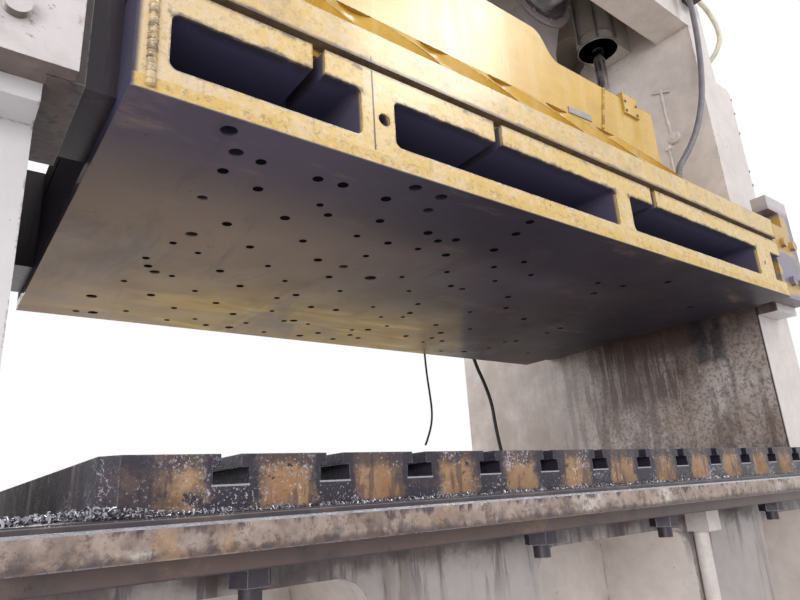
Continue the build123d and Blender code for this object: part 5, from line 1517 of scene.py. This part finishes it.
class PRESS_OT_roof(bpy.types.Operator):
    """Add the motor's grille and eye, the tank's fittings, and the guard's screen."""

    bl_idname = "press.roof"
    bl_label = "Roof fittings"

    def execute(self, context):
        self.add_motor_fittings()
        self.add_tank_fittings()
        self.add_guard_fittings()
        circle = bolt_circle(8, 10, 0.175, (0.0, 0.999, FLYWHEEL_Z), 1)
        bolts = stamped(hex_bolt(0.024, 0.012), circle)
        add_piece("clutch_bolts", bolts, "bolt_steel", "flywheel")
        return {"FINISHED"}

    def add_motor_fittings(self):
        low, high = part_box("motor")
        middle, inner, outer = 4.300, 0.030, 0.145
        rings = sizes().grille_rings
        shapes = []
        for i in range(rings):
            radius = inner + (outer - inner) * i / (rings - 1)
            shapes.append(tube(loop((0.0, low.y - 0.004, middle), radius, 40), 0.0028))
        for k in range(8):
            centre, angle = (0.0, low.y - 0.003, middle), math.pi * k / 4
            shapes.append(tube([round_about(centre, reach, angle) for reach in (0.02, 0.150)], 0.0035))
        add_piece("motor_grille", joined(shapes), "bolt_steel", "frame")
        top = min(high.z + 0.055, cad_box[1][2])
        eye = loop((0.0, (low.y + high.y) / 2, top - 0.039), 0.028, 24, -UP, RIGHT)
        add_piece("motor_lifting_eye", tube(eye, 0.007), "zinc", "frame")

    def add_tank_fittings(self):
        low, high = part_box("air_tank")
        y, z = (low.y + high.y) / 2, (low.z + high.z) / 2
        shapes = []
        for x in (-0.585, 0.0, 0.585):
            path = loop((x, y, z), 0.2195, 72, BACK, UP)
            chance = random.Random(int(100 * x) + 70)
            shapes.append(swept(path, [0.004 * chance.uniform(0.85, 1.15) for _ in path]))
        valve = turned((0.030, 0.0, 6), (0.030, 0.02, 6), (0.018, 0.022), (0.018, 0.05), (0.012, 0.052),
                       (0.012, 0.07), (0.004, 0.071))
        gauge = turned((0.034, 0.0), (0.036, 0.004), (0.036, 0.024), (0.033, 0.028), (0.031, 0.0265),
                       (0.002, 0.0265))
        shapes.append(stamped(valve, [toward((-0.2, low.y + 0.012, z + 0.05), (0, -1, 0))]))
        shapes.append(stamped(gauge, [toward((0.18, low.y - 0.002, z + 0.04), (0, -1, 0))]))
        add_piece("tank_fittings", joined(shapes), "pipe_paint", "frame")

    def add_guard_fittings(self):
        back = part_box("belt_guard")[1].y
        centre = Vector((0.0, back - 0.003, FLYWHEEL_Z))
        radius, pitch, bow = 0.302, sizes().mesh_pitch, BACK * 0.0012
        wires = []
        for k in range(1, int(2 * radius / pitch)):
            offset = -radius + k * pitch
            reach = math.sqrt(max(radius * radius - offset * offset, 0.0))
            if reach < 0.02:
                continue
            for way, along, across in ((-1, RIGHT, UP), (1, UP, RIGHT)):
                middle = centre + bow * way + across * offset
                wires.append(tube((middle - along * reach, middle + along * reach), 0.0014))
        add_piece("guard_screen", joined(wires), "zinc", "frame")
        screws = bolt_circle(12, 15, 0.325, (0.0, back - 0.002, FLYWHEEL_Z), 1)
        add_piece("guard_screws", stamped(domed_screw(0.008, 0.0018), screws), "zinc", "frame")


OPERATORS = (
    PRESS_OT_stage,
    PRESS_OT_slide_hose,
    PRESS_OT_rear_cable,
    PRESS_OT_rear_hose,
    PRESS_OT_finishes,
    PRESS_OT_small_holes,
    PRESS_OT_slide_welds,
    PRESS_OT_slide_details,
    PRESS_OT_frame_welds,
    PRESS_OT_swarf,
    PRESS_OT_covers,
    PRESS_OT_grease_line,
    PRESS_OT_drive_details,
    PRESS_OT_roof,
)


class PRESS_PT_pieces(bpy.types.Panel):
    """Lists the pieces of the press."""

    bl_idname = "PRESS_PT_pieces"
    bl_label = "Stamping press"
    bl_space_type = "VIEW_3D"
    bl_region_type = "UI"
    bl_category = "Press"

    def draw(self, context):
        layout = self.layout
        for operator in OPERATORS:
            layout.operator(operator.bl_idname)
        for group in (context.scene.press_sizes, context.scene.press_colours):
            for name in group.__annotations__:
                layout.prop(group, name)


CLASSES = (PressSizes, PressColours, *OPERATORS, PRESS_PT_pieces)


def register():
    for cls in CLASSES:
        bpy.utils.register_class(cls)
    bpy.types.Scene.press_sizes = PointerProperty(type=PressSizes)
    bpy.types.Scene.press_colours = PointerProperty(type=PressColours)


def unregister():
    del bpy.types.Scene.press_colours
    del bpy.types.Scene.press_sizes
    for cls in reversed(CLASSES):
        bpy.utils.unregister_class(cls)


def main():
    register()
    Finish.groups = make_groups()
    make_materials()
    for operator in OPERATORS:
        group, name = operator.bl_idname.split(".")
        getattr(getattr(bpy.ops, group), name)()


if __name__ == "__main__":
    main()
